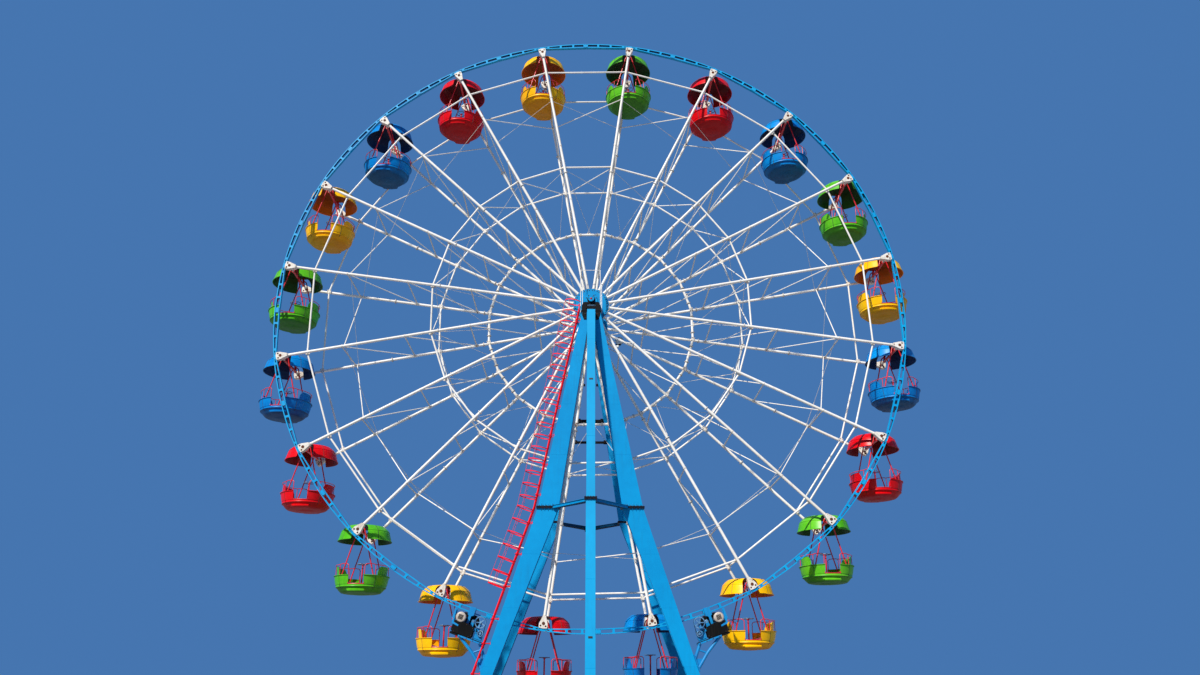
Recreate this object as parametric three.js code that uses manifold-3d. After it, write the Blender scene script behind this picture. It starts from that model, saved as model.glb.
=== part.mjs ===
// Fairground observation wheel with twenty open cabins on a six-legged tower.
// Millimetres, +Z up, front towards -Y, origin on the ground under the hub.
import * as THREE from 'three';
import { mergeVertices } from 'three/addons/utils/BufferGeometryUtils.js';
import Module from 'manifold-3d';

const wasm = await Module();
wasm.setup();

// Driving dimensions of the wheel
const BAYS = 20;
const HUB_HEIGHT = 16900;
const WHEEL_TURN = THREE.MathUtils.degToRad(-1.3);
const BAY_ANGLE = (2 * Math.PI) / BAYS;
const CHORD_PLANE = 1300;
const PIVOT_RADIUS = 13250;
const SEAT_GAP = 0.3;
const CUT_PAST = 50;

// Spoke frames
const CHORD_HALF = 55;
const STRUT_RADII = [2500, 5250, 8050, 10700];
const STRUT_HALF = 28;
const SHAFT_RADIUS = 42;
const SHAFT_SIDES = 6;
const GUSSET_START = 12970;
const SPOKE_SINK = 100;
const GUSSET_HALF_DEPTH = 110;
const GUSSET_NARROW = 65;
const GUSSET_WIDE = 165;

// Tie rings
const OUTER_TIE_RADIUS = 12170;
const MIDDLE_TIE_RADIUS = 6950;
const INNER_RING_RADIUS = 4680;
const TIE_TUBE = 38;
const INNER_RING_TUBE = 55;

// Rim
const RIM_OUTER = 13540;
const RIM_CORNER = 13440;
const RIM_MIDDLE = 13325;
const RIM_CHORD = 42;
const RIM_FRONT = -1370;
const RIM_BACK = -1230;
const RIM_STEPS = 4;
const RIM_WINDOWS = 5;
const RIM_WINDOW_ANGLE = BAY_ANGLE * 0.14;
const RIM_PITCH_ANGLE = BAY_ANGLE * 0.178;

// Hub
const FLANGE_RADIUS = 770;
const FLANGE_HALF = 60;
const DRUM_RADIUS = 560;
const AXLE_RADIUS = 110;
const AXLE_END = 2110;
const AXLE_SIDES = 12;

// Cabins, measured from the shaft's centre
const CABIN_SIDES = 10;
const CANOPY_RADIUS = 1085;
const CANOPY_TOP = 340;
const CANOPY_SHOULDER = { radius: 860, height: 190 };
const CANOPY_SKIRT = -320;
const CANOPY_WALL = 30;
const NOTCH_HALF = 300;
const NOTCH_DEPTH = 800;
const TUB_RIM = { radius: 1100, height: -1690 };
const TUB_SHOULDER = { radius: 970, height: -2130 };
const TUB_BASE = { radius: 780, height: -2360 };
const TUB_BOTTOM = -2400;
const TUB_FLOOR = -2290;
const TUB_WALL = 40;
const DOOR_HALF = 300;
const WELL_HALF = 380;
const WELL_REACH = 600;
const BENCH_TOP = -1940;
const HANGER = { y: 760, head: 150, top: 190, crotch: -110, foot: 662, half: 27, sink: 110 };
const SHAFT_BORE = { radius: 46, sides: 8 };
const CABIN_COLOURS = { green: 0x55c81f, red: 0xd81420, blue: 0x0b63c8, yellow: 0xf2c000 };
const CABIN_ORDER = ['green', 'red', 'blue', 'green', 'yellow', 'blue', 'red', 'green', 'yellow', 'blue',
  'red', 'yellow', 'green', 'red', 'blue', 'green', 'yellow', 'blue', 'red', 'yellow'];

// Tower
const LEG_FRONT = 1980;
const LEG_BACK = 1620;
const HEAD_TOP = 16340;
const KNEE_HEIGHT = 8100;
const LEG_HEAD = { outer: 390, inner: 40 };
const LEG_KNEE = { outer: 2060, inner: 1240 };
const LEG_FOOT = { outer: 4700, inner: 4320 };
const KNEE_FLANGE = { bottom: KNEE_HEIGHT - 45, top: KNEE_HEIGHT + 45, spread: 60, lip: 20, depth: 400 };
const BASE_PLATE = { height: 60, spread: 160 };
const STRUT_WIDTH = 360;
const STRUT_HEAD_DEPTH = 300;
const STRUT_FOOT_Y = 5250;
const STRUT_FOOT_DEPTH = 350;
const TIE_PLATE = { bottom: KNEE_HEIGHT - 60, top: KNEE_HEIGHT + 60, width: 260, halfEnd: 200 };
const BEARING = { halfWidth: 430, halfDepth: 200, base: HEAD_TOP + SEAT_GAP, deck: 16740, sink: 50 };
const BEARING_CAP = { radius: 290, bore: 112.7, sides: 16 };

// Ladder and its cage
const LADDER_OFF_LEG = 150;
const LADDER_SPLAY = 0.02;
const LADDER_TOP = 16500;
const LADDER_FOOT = 1900;
const LADDER_STILE = 30;
const RUNG_SPACING = 1320;
const FIRST_RUNG = 3100;
const RUNG_SIZE = 18;
const LADDER_BRACKETS = [1940, 3000, 7500, 8600, 12200, 16000];
const BRACKET_HEIGHT = 40;
const CAGE_DEPTH = 700;
const CAGE_CHAMFER = 0.6;
const CAGE_NOSE = 100;
const CAGE_TOP = 16000;
const CAGE_FOOT = 5100;
const CAGE_SPACING = 1800;
const CAGE_BAND = { height: 50, thickness: 12 };
const CAGE_RAIL = 14;

// Drive units
const DRIVE_ANGLE = THREE.MathUtils.degToRad(160.5);
const DRIVE_PLATE = { radius: 14430, thickness: 60, start: -450, end: 800, front: -1960, back: -1190 };
const DRIVE_HOUSING = { half: 300, front: -1560, radius: 13620 };
const DRIVE_MOTOR = { start: -510, end: -90, back: -1500, radius: 13650 };
const DRIVE_ARM = { radius: 60, y: -1800, sink: 60, outer: -80, inner: 740, outerFoot: 2155, innerFoot: 2510 };
const DRIVE_ARM_BEND = { x: 4410, z: 2710, overlap: 30 };
const DRIVE_SHOE = { bottom: 2040, top: 2630, thickness: 70, half: 90 };

const finish = (color, roughness, metalness) =>
  new THREE.MeshStandardMaterial({ color, roughness, metalness });

// Closed solid from a three.js geometry, as a manifold that can be joined or cut
function solid(geometry, ...matrices) {
  const shaped = geometry.clone();
  shaped.deleteAttribute('normal');
  shaped.deleteAttribute('uv');
  for (const matrix of matrices) {
    shaped.applyMatrix4(matrix);
  }
  const merged = mergeVertices(shaped, 1e-3);
  const vertProperties = new Float32Array(merged.attributes.position.array);
  const triVerts = new Uint32Array(merged.index.array);
  return new wasm.Manifold(new wasm.Mesh({ numProp: 3, vertProperties, triVerts }));
}

const join = (solids) => solids.reduce((sum, next) => sum.add(next));
const move = (x, y, z) => new THREE.Matrix4().makeTranslation(x, y, z);
const turnX = (angle) => new THREE.Matrix4().makeRotationX(angle);
const turnY = (angle) => new THREE.Matrix4().makeRotationY(angle);
const turnZ = (angle) => new THREE.Matrix4().makeRotationZ(angle);

// Named mesh of one manifold
function piece(name, manifold, material) {
  const data = manifold.getMesh();
  const geometry = new THREE.BufferGeometry();
  geometry.setAttribute('position', new THREE.BufferAttribute(new Float32Array(data.vertProperties), 3));
  geometry.setIndex(new THREE.BufferAttribute(new Uint32Array(data.triVerts), 1));
  const flat = geometry.toNonIndexed();
  flat.computeVertexNormals();
  const mesh = new THREE.Mesh(flat, material);
  mesh.name = name;
  return mesh;
}

function box(x0, x1, y0, y1, z0, z1, ...matrices) {
  const geometry = new THREE.BoxGeometry(Math.abs(x1 - x0), y1 - y0, z1 - z0);
  return solid(geometry, move((x0 + x1) / 2, (y0 + y1) / 2, (z0 + z1) / 2), ...matrices);
}

// Straight bar between two points, with few sides
function bar(start, end, radius, sides = 4) {
  const from = new THREE.Vector3(...start);
  const along = new THREE.Vector3(...end).sub(from);
  const geometry = new THREE.CylinderGeometry(radius, radius, along.length(), sides, 1);
  geometry.translate(0, along.length() / 2, 0);
  const turn = new THREE.Quaternion().setFromUnitVectors(new THREE.Vector3(0, 1, 0), along.normalize());
  return solid(geometry, new THREE.Matrix4().makeRotationFromQuaternion(turn), move(...start));
}

function outline(points) {
  return new THREE.Shape(points.map(([x, y]) => new THREE.Vector2(x, y)));
}

// Plate from an X-Z outline, reaching from y0 back to y1
function uprightPlate(shape, y0, y1) {
  const geometry = new THREE.ExtrudeGeometry(shape, { depth: y1 - y0, bevelEnabled: false });
  return solid(geometry, turnX(Math.PI / 2), move(0, y1, 0));
}

// Plate from an X-Y outline, reaching from z0 up to z1
function levelPlate(shape, z0, z1) {
  const geometry = new THREE.ExtrudeGeometry(shape, { depth: z1 - z0, bevelEnabled: false });
  return solid(geometry, move(0, 0, z0));
}

// Cylinder along Y
function roundAlongY(radius, y0, y1, sides, z = 0) {
  const geometry = new THREE.CylinderGeometry(radius, radius, y1 - y0, sides, 1);
  return solid(geometry, move(0, (y0 + y1) / 2, z));
}

// Truss of one spoke, standing along +Z in its own place, with the cabin's shaft at its tip
function spokeFrame() {
  const tip = RIM_CORNER - SEAT_GAP;
  const slope = (RIM_CORNER - RIM_MIDDLE * Math.cos(BAY_ANGLE / 2)) / (RIM_MIDDLE * Math.sin(BAY_ANGLE / 2));
  const gusset = outline([
    [-GUSSET_NARROW, GUSSET_START],
    [GUSSET_NARROW, GUSSET_START],
    [GUSSET_WIDE, tip - GUSSET_WIDE * slope],
    [0, tip],
    [-GUSSET_WIDE, tip - GUSSET_WIDE * slope],
  ]);
  const root = FLANGE_RADIUS * Math.cos(BAY_ANGLE / 2) + SEAT_GAP;
  const solids = [];
  for (const side of [-1, 1]) {
    const plane = side * CHORD_PLANE;
    solids.push(box(-CHORD_HALF, CHORD_HALF, plane - CHORD_HALF, plane + CHORD_HALF,
      root, GUSSET_START + SPOKE_SINK));
    solids.push(uprightPlate(gusset, plane - GUSSET_HALF_DEPTH, plane + GUSSET_HALF_DEPTH));
  }
  for (const radius of STRUT_RADII) {
    solids.push(box(-STRUT_HALF, STRUT_HALF, -CHORD_PLANE, CHORD_PLANE,
      radius - STRUT_HALF, radius + STRUT_HALF));
  }
  solids.push(bar([0, -CHORD_PLANE, PIVOT_RADIUS], [0, CHORD_PLANE, PIVOT_RADIUS],
    SHAFT_RADIUS, SHAFT_SIDES));
  return join(solids);
}

// Ring of straight tubes with its corners on the spokes
function tieRing(radius, tube, plane, sides = 4) {
  const geometry = new THREE.TorusGeometry(radius, tube, sides, BAYS);
  return solid(geometry, turnZ(BAY_ANGLE / 2), turnX(Math.PI / 2), move(0, plane, 0));
}

// Point of the wheel's plane at a radius and a clockwise angle
const rimPoint = (radius, angle) => [radius * Math.sin(angle), radius * Math.cos(angle)];

// Opening between two battens, at an offset from the middle of its bay
function rimWindow(centre, offset) {
  const edges = [offset - RIM_WINDOW_ANGLE / 2, offset + RIM_WINDOW_ANGLE / 2];
  const [low, high] = edges.map((angle) => RIM_MIDDLE + RIM_CHORD
    + (RIM_CORNER - RIM_MIDDLE) * (Math.abs(angle) / (BAY_ANGLE / 2)));
  return uprightPlate(outline([
    rimPoint(low, centre + edges[0]),
    rimPoint(high, centre + edges[1]),
    rimPoint(RIM_OUTER - RIM_CHORD, centre + edges[1]),
    rimPoint(RIM_OUTER - RIM_CHORD, centre + edges[0]),
  ]), RIM_FRONT - CUT_PAST, RIM_BACK + CUT_PAST);
}

// Rim of two chords and battens, its inner chord bent at each spoke
function rim() {
  const outer = [];
  const inner = [];
  const windows = [];
  for (let bay = 0; bay < BAYS; bay += 1) {
    const corner = (bay + 0.5) * BAY_ANGLE;
    for (let step = 0; step < RIM_STEPS; step += 1) {
      outer.push(rimPoint(RIM_OUTER, corner + (step / RIM_STEPS) * BAY_ANGLE));
    }
    inner.push(rimPoint(RIM_CORNER, corner));
    inner.push(rimPoint(RIM_MIDDLE, corner + BAY_ANGLE / 2));
    for (let n = 0; n < RIM_WINDOWS; n += 1) {
      windows.push(rimWindow(bay * BAY_ANGLE, (n - (RIM_WINDOWS - 1) / 2) * RIM_PITCH_ANGLE));
    }
  }
  const band = outline(outer);
  band.holes.push(outline(inner.reverse()));
  return uprightPlate(band, RIM_FRONT, RIM_BACK).subtract(join(windows));
}

// Drum with two flanges, on an axle that runs in the tower's bearings
function hub() {
  return join([
    roundAlongY(DRUM_RADIUS, -CHORD_PLANE, CHORD_PLANE, BAYS),
    roundAlongY(FLANGE_RADIUS, -CHORD_PLANE - FLANGE_HALF, -CHORD_PLANE + FLANGE_HALF, BAYS),
    roundAlongY(FLANGE_RADIUS, CHORD_PLANE - FLANGE_HALF, CHORD_PLANE + FLANGE_HALF, BAYS),
    roundAlongY(AXLE_RADIUS, -AXLE_END, AXLE_END, AXLE_SIDES),
  ]);
}

// Solid of revolution about Z from half of its section
function turned(points) {
  const geometry = new THREE.LatheGeometry(points.map(([x, y]) => new THREE.Vector2(x, y)), CABIN_SIDES);
  return solid(geometry, turnX(Math.PI / 2), turnZ(Math.PI / CABIN_SIDES));
}

// Domed roof with a notch over each end of the shaft
function canopy() {
  const shell = turned([
    [0, CANOPY_TOP - CANOPY_WALL],
    [CANOPY_SHOULDER.radius - CANOPY_WALL, CANOPY_SHOULDER.height - CANOPY_WALL],
    [CANOPY_RADIUS - CANOPY_WALL, CANOPY_SKIRT],
    [CANOPY_RADIUS, CANOPY_SKIRT],
    [CANOPY_SHOULDER.radius, CANOPY_SHOULDER.height],
    [0, CANOPY_TOP],
  ]);
  return shell
    .subtract(box(-NOTCH_HALF, NOTCH_HALF, NOTCH_DEPTH, 2 * CANOPY_RADIUS, 2 * CANOPY_SKIRT, CANOPY_TOP))
    .subtract(box(-NOTCH_HALF, NOTCH_HALF, -2 * CANOPY_RADIUS, -NOTCH_DEPTH, 2 * CANOPY_SKIRT, CANOPY_TOP));
}

// Round tub with a well between its two benches and a doorway at each end of the well
function tub() {
  const body = turned([
    [0, TUB_BOTTOM],
    [TUB_BASE.radius, TUB_BASE.height],
    [TUB_SHOULDER.radius, TUB_SHOULDER.height],
    [TUB_RIM.radius, TUB_RIM.height],
    [0, TUB_RIM.height],
  ]);
  const inside = turned([
    [0, BENCH_TOP],
    [TUB_SHOULDER.radius - TUB_WALL, BENCH_TOP],
    [TUB_RIM.radius - TUB_WALL, TUB_RIM.height + CUT_PAST],
    [0, TUB_RIM.height + CUT_PAST],
  ]);
  const well = box(-WELL_HALF, WELL_HALF, -WELL_REACH, WELL_REACH, TUB_FLOOR, TUB_RIM.height);
  const doorway = box(-DOOR_HALF, DOOR_HALF, -2 * TUB_RIM.radius, 2 * TUB_RIM.radius, TUB_SHOULDER.height, 0);
  return body.subtract(join([inside, well, doorway]));
}

// Hanger frame that turns on the shaft and spreads down to the tub's rim
function hangerFrame(side) {
  const y = side * HANGER.y;
  const foot = TUB_RIM.height - HANGER.sink;
  const frame = outline([
    [-HANGER.head, HANGER.top],
    [-HANGER.foot - HANGER.half, foot],
    [-HANGER.foot + HANGER.half, foot],
    [-HANGER.head + 2 * HANGER.half, HANGER.crotch],
    [HANGER.head - 2 * HANGER.half, HANGER.crotch],
    [HANGER.foot - HANGER.half, foot],
    [HANGER.foot + HANGER.half, foot],
    [HANGER.head, HANGER.top],
  ]);
  const bore = roundAlongY(SHAFT_BORE.radius, y - CUT_PAST, y + CUT_PAST, SHAFT_BORE.sides);
  return uprightPlate(frame, y - HANGER.half, y + HANGER.half).subtract(bore);
}

// Cabin hanging from its shaft, whose centre is at the local origin
const cabin = () => join([canopy(), tub(), hangerFrame(-1), hangerFrame(1)]);

// Leg of the rear frame, bent at its flanged knee
function towerLeg(hand) {
  const profile = outline([
    [hand * LEG_HEAD.inner, HEAD_TOP],
    [hand * LEG_HEAD.outer, HEAD_TOP],
    [hand * LEG_KNEE.outer, KNEE_HEIGHT],
    [hand * LEG_FOOT.outer, 0],
    [hand * LEG_FOOT.inner, 0],
    [hand * LEG_KNEE.inner, KNEE_HEIGHT],
  ]);
  const beam = uprightPlate(profile, LEG_BACK, LEG_FRONT);
  const flange = box(hand * (LEG_KNEE.inner - KNEE_FLANGE.spread),
    hand * (LEG_KNEE.outer + KNEE_FLANGE.spread), LEG_BACK - KNEE_FLANGE.lip, LEG_FRONT + KNEE_FLANGE.lip,
    KNEE_FLANGE.bottom, KNEE_FLANGE.top);
  const plate = box(hand * (LEG_FOOT.inner - BASE_PLATE.spread), hand * (LEG_FOOT.outer + BASE_PLATE.spread),
    LEG_BACK - BASE_PLATE.spread, LEG_FRONT + BASE_PLATE.spread, 0, BASE_PLATE.height);
  return join([beam, flange, plate]);
}

// Depth of the strut's near face at a height
function strutBackAt(z) {
  const head = LEG_FRONT + SEAT_GAP;
  return head + (STRUT_FOOT_Y - head) * (1 - z / HEAD_TOP);
}

// Leaning strut that props the tower's head, as it stands at the rear
function towerStrut() {
  const head = LEG_FRONT + SEAT_GAP;
  const profile = outline([
    [head, HEAD_TOP],
    [STRUT_FOOT_Y, 0],
    [STRUT_FOOT_Y + STRUT_FOOT_DEPTH, 0],
    [head + STRUT_HEAD_DEPTH, HEAD_TOP],
  ]);
  const geometry = new THREE.ExtrudeGeometry(profile, { depth: STRUT_WIDTH, bevelEnabled: false });
  const upright = new THREE.Matrix4().makeBasis(
    new THREE.Vector3(0, 1, 0), new THREE.Vector3(0, 0, 1), new THREE.Vector3(1, 0, 0));
  const beam = solid(geometry, upright, move(-STRUT_WIDTH / 2, 0, 0));
  const half = STRUT_WIDTH / 2;
  const flangeStart = strutBackAt(KNEE_HEIGHT) + KNEE_FLANGE.lip;
  const flange = box(-half - KNEE_FLANGE.spread, half + KNEE_FLANGE.spread,
    flangeStart, flangeStart + KNEE_FLANGE.depth, KNEE_FLANGE.bottom, KNEE_FLANGE.top);
  const plate = box(-half - BASE_PLATE.spread, half + BASE_PLATE.spread, STRUT_FOOT_Y - BASE_PLATE.spread,
    STRUT_FOOT_Y + STRUT_FOOT_DEPTH + BASE_PLATE.spread, 0, BASE_PLATE.height);
  return join([beam, flange, plate]);
}

// Level V plate from the strut to the two knees, as it lies at the rear
function kneeTie() {
  const apex = strutBackAt(TIE_PLATE.top) - SEAT_GAP;
  const near = LEG_FRONT + KNEE_FLANGE.lip + SEAT_GAP;
  const knee = (LEG_KNEE.outer + LEG_KNEE.inner) / 2;
  const half = STRUT_WIDTH / 2;
  const vee = outline([
    [-knee - TIE_PLATE.halfEnd, near],
    [-knee + TIE_PLATE.halfEnd, near],
    [0, apex - TIE_PLATE.width],
    [knee - TIE_PLATE.halfEnd, near],
    [knee + TIE_PLATE.halfEnd, near],
    [half, apex],
    [-half, apex],
  ]);
  return levelPlate(vee, TIE_PLATE.bottom, TIE_PLATE.top);
}

// Pillow block that carries the rear end of the axle
function bearing() {
  const centre = (LEG_FRONT + LEG_BACK) / 2;
  const y0 = centre - BEARING.halfDepth;
  const y1 = centre + BEARING.halfDepth;
  const block = box(-BEARING.halfWidth, BEARING.halfWidth, y0, y1, BEARING.base, BEARING.deck);
  const housing = box(-BEARING_CAP.radius, BEARING_CAP.radius, y0, y1,
    BEARING.deck - BEARING.sink, HUB_HEIGHT);
  const cap = roundAlongY(BEARING_CAP.radius, y0, y1, BEARING_CAP.sides, HUB_HEIGHT);
  const bore = roundAlongY(BEARING_CAP.bore, y0 - CUT_PAST, y1 + CUT_PAST, BEARING_CAP.sides, HUB_HEIGHT);
  return join([block, housing, cap]).subtract(bore);
}

// Outer edge of the left leg at a height
function legEdgeAt(z) {
  const { lerp } = THREE.MathUtils;
  if (z > KNEE_HEIGHT) {
    return lerp(LEG_KNEE.outer, LEG_HEAD.outer, (z - KNEE_HEIGHT) / (HEAD_TOP - KNEE_HEIGHT));
  }
  return lerp(LEG_FOOT.outer, LEG_KNEE.outer, z / KNEE_HEIGHT);
}

// Hoop of the ladder's cage, reaching out from the ladder's line
function cageHoop(x, z) {
  const inset = CAGE_BAND.thickness;
  const bend = CAGE_CHAMFER * CAGE_DEPTH;
  const hoop = outline([
    [x, -LEG_FRONT],
    [x - bend, -LEG_FRONT],
    [x - CAGE_DEPTH, -LEG_FRONT + CAGE_NOSE],
    [x - CAGE_DEPTH, -LEG_BACK - CAGE_NOSE],
    [x - bend, -LEG_BACK],
    [x, -LEG_BACK],
    [x, -LEG_BACK - inset],
    [x - bend, -LEG_BACK - inset],
    [x - CAGE_DEPTH + inset, -LEG_BACK - CAGE_NOSE - inset],
    [x - CAGE_DEPTH + inset, -LEG_FRONT + CAGE_NOSE + inset],
    [x - bend, -LEG_FRONT + inset],
    [x, -LEG_FRONT + inset],
  ]);
  return levelPlate(hoop, z, z + CAGE_BAND.height);
}

// Caged ladder on brackets along the outer side of the front left leg
function ladder() {
  const stiles = [-LEG_FRONT + LADDER_STILE, -LEG_BACK - LADDER_STILE];
  const xAt = (z) => -legEdgeAt(z) - LADDER_OFF_LEG - LADDER_SPLAY * Math.max(0, KNEE_HEIGHT - z);
  const solids = [];
  for (const y of stiles) {
    solids.push(bar([xAt(LADDER_TOP), y, LADDER_TOP], [xAt(KNEE_HEIGHT), y, KNEE_HEIGHT], LADDER_STILE));
    solids.push(bar([xAt(KNEE_HEIGHT + LADDER_STILE), y, KNEE_HEIGHT + LADDER_STILE],
      [xAt(LADDER_FOOT), y, LADDER_FOOT], LADDER_STILE));
  }
  for (let z = FIRST_RUNG; z < LADDER_TOP; z += RUNG_SPACING) {
    solids.push(bar([xAt(z), stiles[0], z], [xAt(z), stiles[1], z], RUNG_SIZE));
  }
  for (const z of LADDER_BRACKETS) {
    const top = z + BRACKET_HEIGHT;
    const bracket = outline([
      [xAt(z), z],
      [-legEdgeAt(z) - SEAT_GAP, z],
      [-legEdgeAt(top) - SEAT_GAP, top],
      [xAt(top), top],
    ]);
    solids.push(uprightPlate(bracket, stiles[0], stiles[1]));
  }
  let top = CAGE_FOOT;
  for (let z = CAGE_FOOT; z < CAGE_TOP; z += CAGE_SPACING) {
    solids.push(cageHoop(xAt(z), z));
    top = z;
  }
  const middle = -(LEG_FRONT + LEG_BACK) / 2;
  const rail = CAGE_DEPTH - CAGE_BAND.thickness / 2;
  const bend = [xAt(KNEE_HEIGHT) - rail, middle, KNEE_HEIGHT];
  solids.push(bar([xAt(CAGE_FOOT) - rail, middle, CAGE_FOOT], bend, CAGE_RAIL));
  const overlap = KNEE_HEIGHT - CAGE_RAIL;
  solids.push(bar([xAt(overlap) - rail, middle, overlap],
    [xAt(top) - rail, middle, top + CAGE_BAND.height], CAGE_RAIL));
  return join(solids);
}

// Shoe on the outer side of a front leg, which carries one drive
function driveShoe(hand) {
  const { bottom, top, thickness, half } = DRIVE_SHOE;
  const near = (z) => hand * (legEdgeAt(z) + SEAT_GAP);
  const far = (z) => hand * (legEdgeAt(z) + SEAT_GAP + thickness);
  const shoe = outline([[near(bottom), bottom], [far(bottom), bottom], [far(top), top], [near(top), top]]);
  return uprightPlate(shoe, DRIVE_ARM.y - half, DRIVE_ARM.y + half);
}

// Friction drive under the rim, on a bent outer arm and a straight inner arm from its shoe
function driveUnit(hand) {
  const place = move(0, 0, HUB_HEIGHT).multiply(turnY(hand * DRIVE_ANGLE));
  const seat = DRIVE_PLATE.radius + DRIVE_PLATE.thickness / 2;
  const plate = box(hand * DRIVE_PLATE.start, hand * DRIVE_PLATE.end, DRIVE_PLATE.front, DRIVE_PLATE.back,
    DRIVE_PLATE.radius, DRIVE_PLATE.radius + DRIVE_PLATE.thickness, place);
  const housing = box(-DRIVE_HOUSING.half, DRIVE_HOUSING.half, DRIVE_HOUSING.front, DRIVE_PLATE.back,
    DRIVE_HOUSING.radius, seat, place);
  const motor = box(hand * DRIVE_MOTOR.start, hand * DRIVE_MOTOR.end,
    DRIVE_PLATE.front, DRIVE_MOTOR.back, DRIVE_MOTOR.radius, seat, place);
  const armTop = (across) => new THREE.Vector3(hand * across, DRIVE_ARM.y, seat).applyMatrix4(place);
  const armFoot = (z) => new THREE.Vector3(hand * (legEdgeAt(z) + DRIVE_ARM.sink), DRIVE_ARM.y, z);
  const bend = new THREE.Vector3(hand * DRIVE_ARM_BEND.x, DRIVE_ARM.y, DRIVE_ARM_BEND.z);
  const foot = armFoot(DRIVE_ARM.outerFoot);
  const pastBend = bend.clone().sub(foot).setLength(DRIVE_ARM_BEND.overlap).add(bend);
  const arms = [[armTop(DRIVE_ARM.outer), bend], [pastBend, foot],
    [armTop(DRIVE_ARM.inner), armFoot(DRIVE_ARM.innerFoot)]];
  const bars = arms.map(([top, end]) => bar(top.toArray(), end.toArray(), DRIVE_ARM.radius));
  return join([plate, housing, motor, driveShoe(hand), ...bars]);
}

// Assembly
const steelBlue = finish(0x0a96e0, 0.38, 0.1);
const steelWhite = finish(0xe9e6dc, 0.5, 0.1);
const darkSteel = finish(0x17181b, 0.6, 0.4);
const ladderRed = finish(0xd4151f, 0.45, 0.1);
const driveBlue = finish(0x0a86d0, 0.4, 0.1);

const object = new THREE.Group();
const wheel = new THREE.Group();
wheel.position.set(0, 0, HUB_HEIGHT);
wheel.rotation.y = WHEEL_TURN;
object.add(wheel);

wheel.add(piece('hub_drum', hub(), steelBlue));
wheel.add(piece('rim', rim(), steelBlue));
const tieFace = CHORD_PLANE - CHORD_HALF - SEAT_GAP;
for (const [place, plane] of [['front', TIE_TUBE - tieFace], ['rear', tieFace - TIE_TUBE]]) {
  wheel.add(piece(`${place}_outer_ties`, tieRing(OUTER_TIE_RADIUS, TIE_TUBE, plane), steelWhite));
  wheel.add(piece(`${place}_middle_ties`, tieRing(MIDDLE_TIE_RADIUS, TIE_TUBE, plane), steelWhite));
}
const innerRing = tieRing(INNER_RING_RADIUS, INNER_RING_TUBE, tieFace - INNER_RING_TUBE);
wheel.add(piece('inner_ring', innerRing, steelWhite));

const frameSolid = spokeFrame();
const cabinSolid = cabin();
for (let n = 0; n < BAYS; n += 1) {
  const label = String(n + 1).padStart(2, '0');
  const angle = (n + 0.5) * BAY_ANGLE;
  const frame = piece(`spoke_frame_${label}`, frameSolid, steelWhite);
  frame.rotation.y = angle;
  wheel.add(frame);
  const paint = finish(CABIN_COLOURS[CABIN_ORDER[n]], 0.35, 0.0);
  const hanging = piece(`cabin_${label}`, cabinSolid, paint);
  const [x, z] = rimPoint(PIVOT_RADIUS, angle + WHEEL_TURN);
  hanging.position.set(x, 0, HUB_HEIGHT + z);
  object.add(hanging);
}

for (const [place, turn, left] of [['rear', 0, -1], ['front', Math.PI, 1]]) {
  const side = new THREE.Group();
  side.rotation.z = turn;
  side.add(piece(`${place}_left_leg`, towerLeg(left), steelBlue));
  side.add(piece(`${place}_right_leg`, towerLeg(-left), steelBlue));
  side.add(piece(`${place}_strut`, towerStrut(), steelBlue));
  side.add(piece(`${place}_knee_tie`, kneeTie(), steelBlue));
  side.add(piece(`${place}_bearing`, bearing(), darkSteel));
  object.add(side);
}
object.add(piece('ladder', ladder(), ladderRed));
object.add(piece('left_drive', driveUnit(-1), driveBlue));
object.add(piece('right_drive', driveUnit(1), driveBlue));

export default object;
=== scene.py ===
from math import asin, atan2, cos, degrees, pi, radians, sin, sqrt

import bmesh
import bpy
from mathutils import Matrix, Vector
from mathutils.geometry import tessellate_polygon


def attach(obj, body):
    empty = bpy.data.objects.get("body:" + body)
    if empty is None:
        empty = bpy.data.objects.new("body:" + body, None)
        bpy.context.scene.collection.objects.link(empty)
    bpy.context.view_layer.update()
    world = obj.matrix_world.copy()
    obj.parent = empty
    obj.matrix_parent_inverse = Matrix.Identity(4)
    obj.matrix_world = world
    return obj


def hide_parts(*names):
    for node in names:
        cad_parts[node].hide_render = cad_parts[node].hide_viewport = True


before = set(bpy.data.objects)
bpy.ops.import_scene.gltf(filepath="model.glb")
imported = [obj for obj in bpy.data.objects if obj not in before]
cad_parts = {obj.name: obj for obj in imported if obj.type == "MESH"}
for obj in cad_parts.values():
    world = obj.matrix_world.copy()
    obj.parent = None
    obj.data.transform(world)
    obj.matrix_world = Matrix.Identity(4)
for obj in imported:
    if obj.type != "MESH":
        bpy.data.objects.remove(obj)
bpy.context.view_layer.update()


# Legs
# The tower stands on four legs, front and rear, left and right. Each is a box girder
# welded up from steel plate and painted blue, in two lengths that are bolted together at
# the knee, and it stands on a plate anchored to its footing.

def srgb(red, green, blue):
    """A paint colour as the linear colour that the shaders mix."""
    linear = [((c / 255 + 0.055) / 1.055) ** 2.4 if c > 10 else c / 3294.6 for c in (red, green, blue)]
    return (*linear, 1.0)


def node(tree, kind, feeds=None, **settings):
    """A shader node whose inputs are set to plain values or fed from other sockets."""
    made = tree.nodes.new("ShaderNode" + kind)
    for name, value in settings.items():
        setattr(made, name, value)
    for socket, value in (feeds or {}).items():
        if isinstance(value, bpy.types.NodeSocket):
            tree.links.new(value, made.inputs[socket])
        else:
            made.inputs[socket].default_value = value
    return made


def mixed(tree, factor, under, over):
    """One colour laid over another where the factor is high."""
    return node(tree, "Mix", {0: factor, 6: under, 7: over}, data_type="RGBA").outputs[2]


def math_of(tree, operation, first, second, clamp):
    """Result of one sum on two sockets or plain values."""
    feeds = {0: first, 1: second}
    return node(tree, "Math", feeds, operation=operation, use_clamp=clamp).outputs[0]


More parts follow.
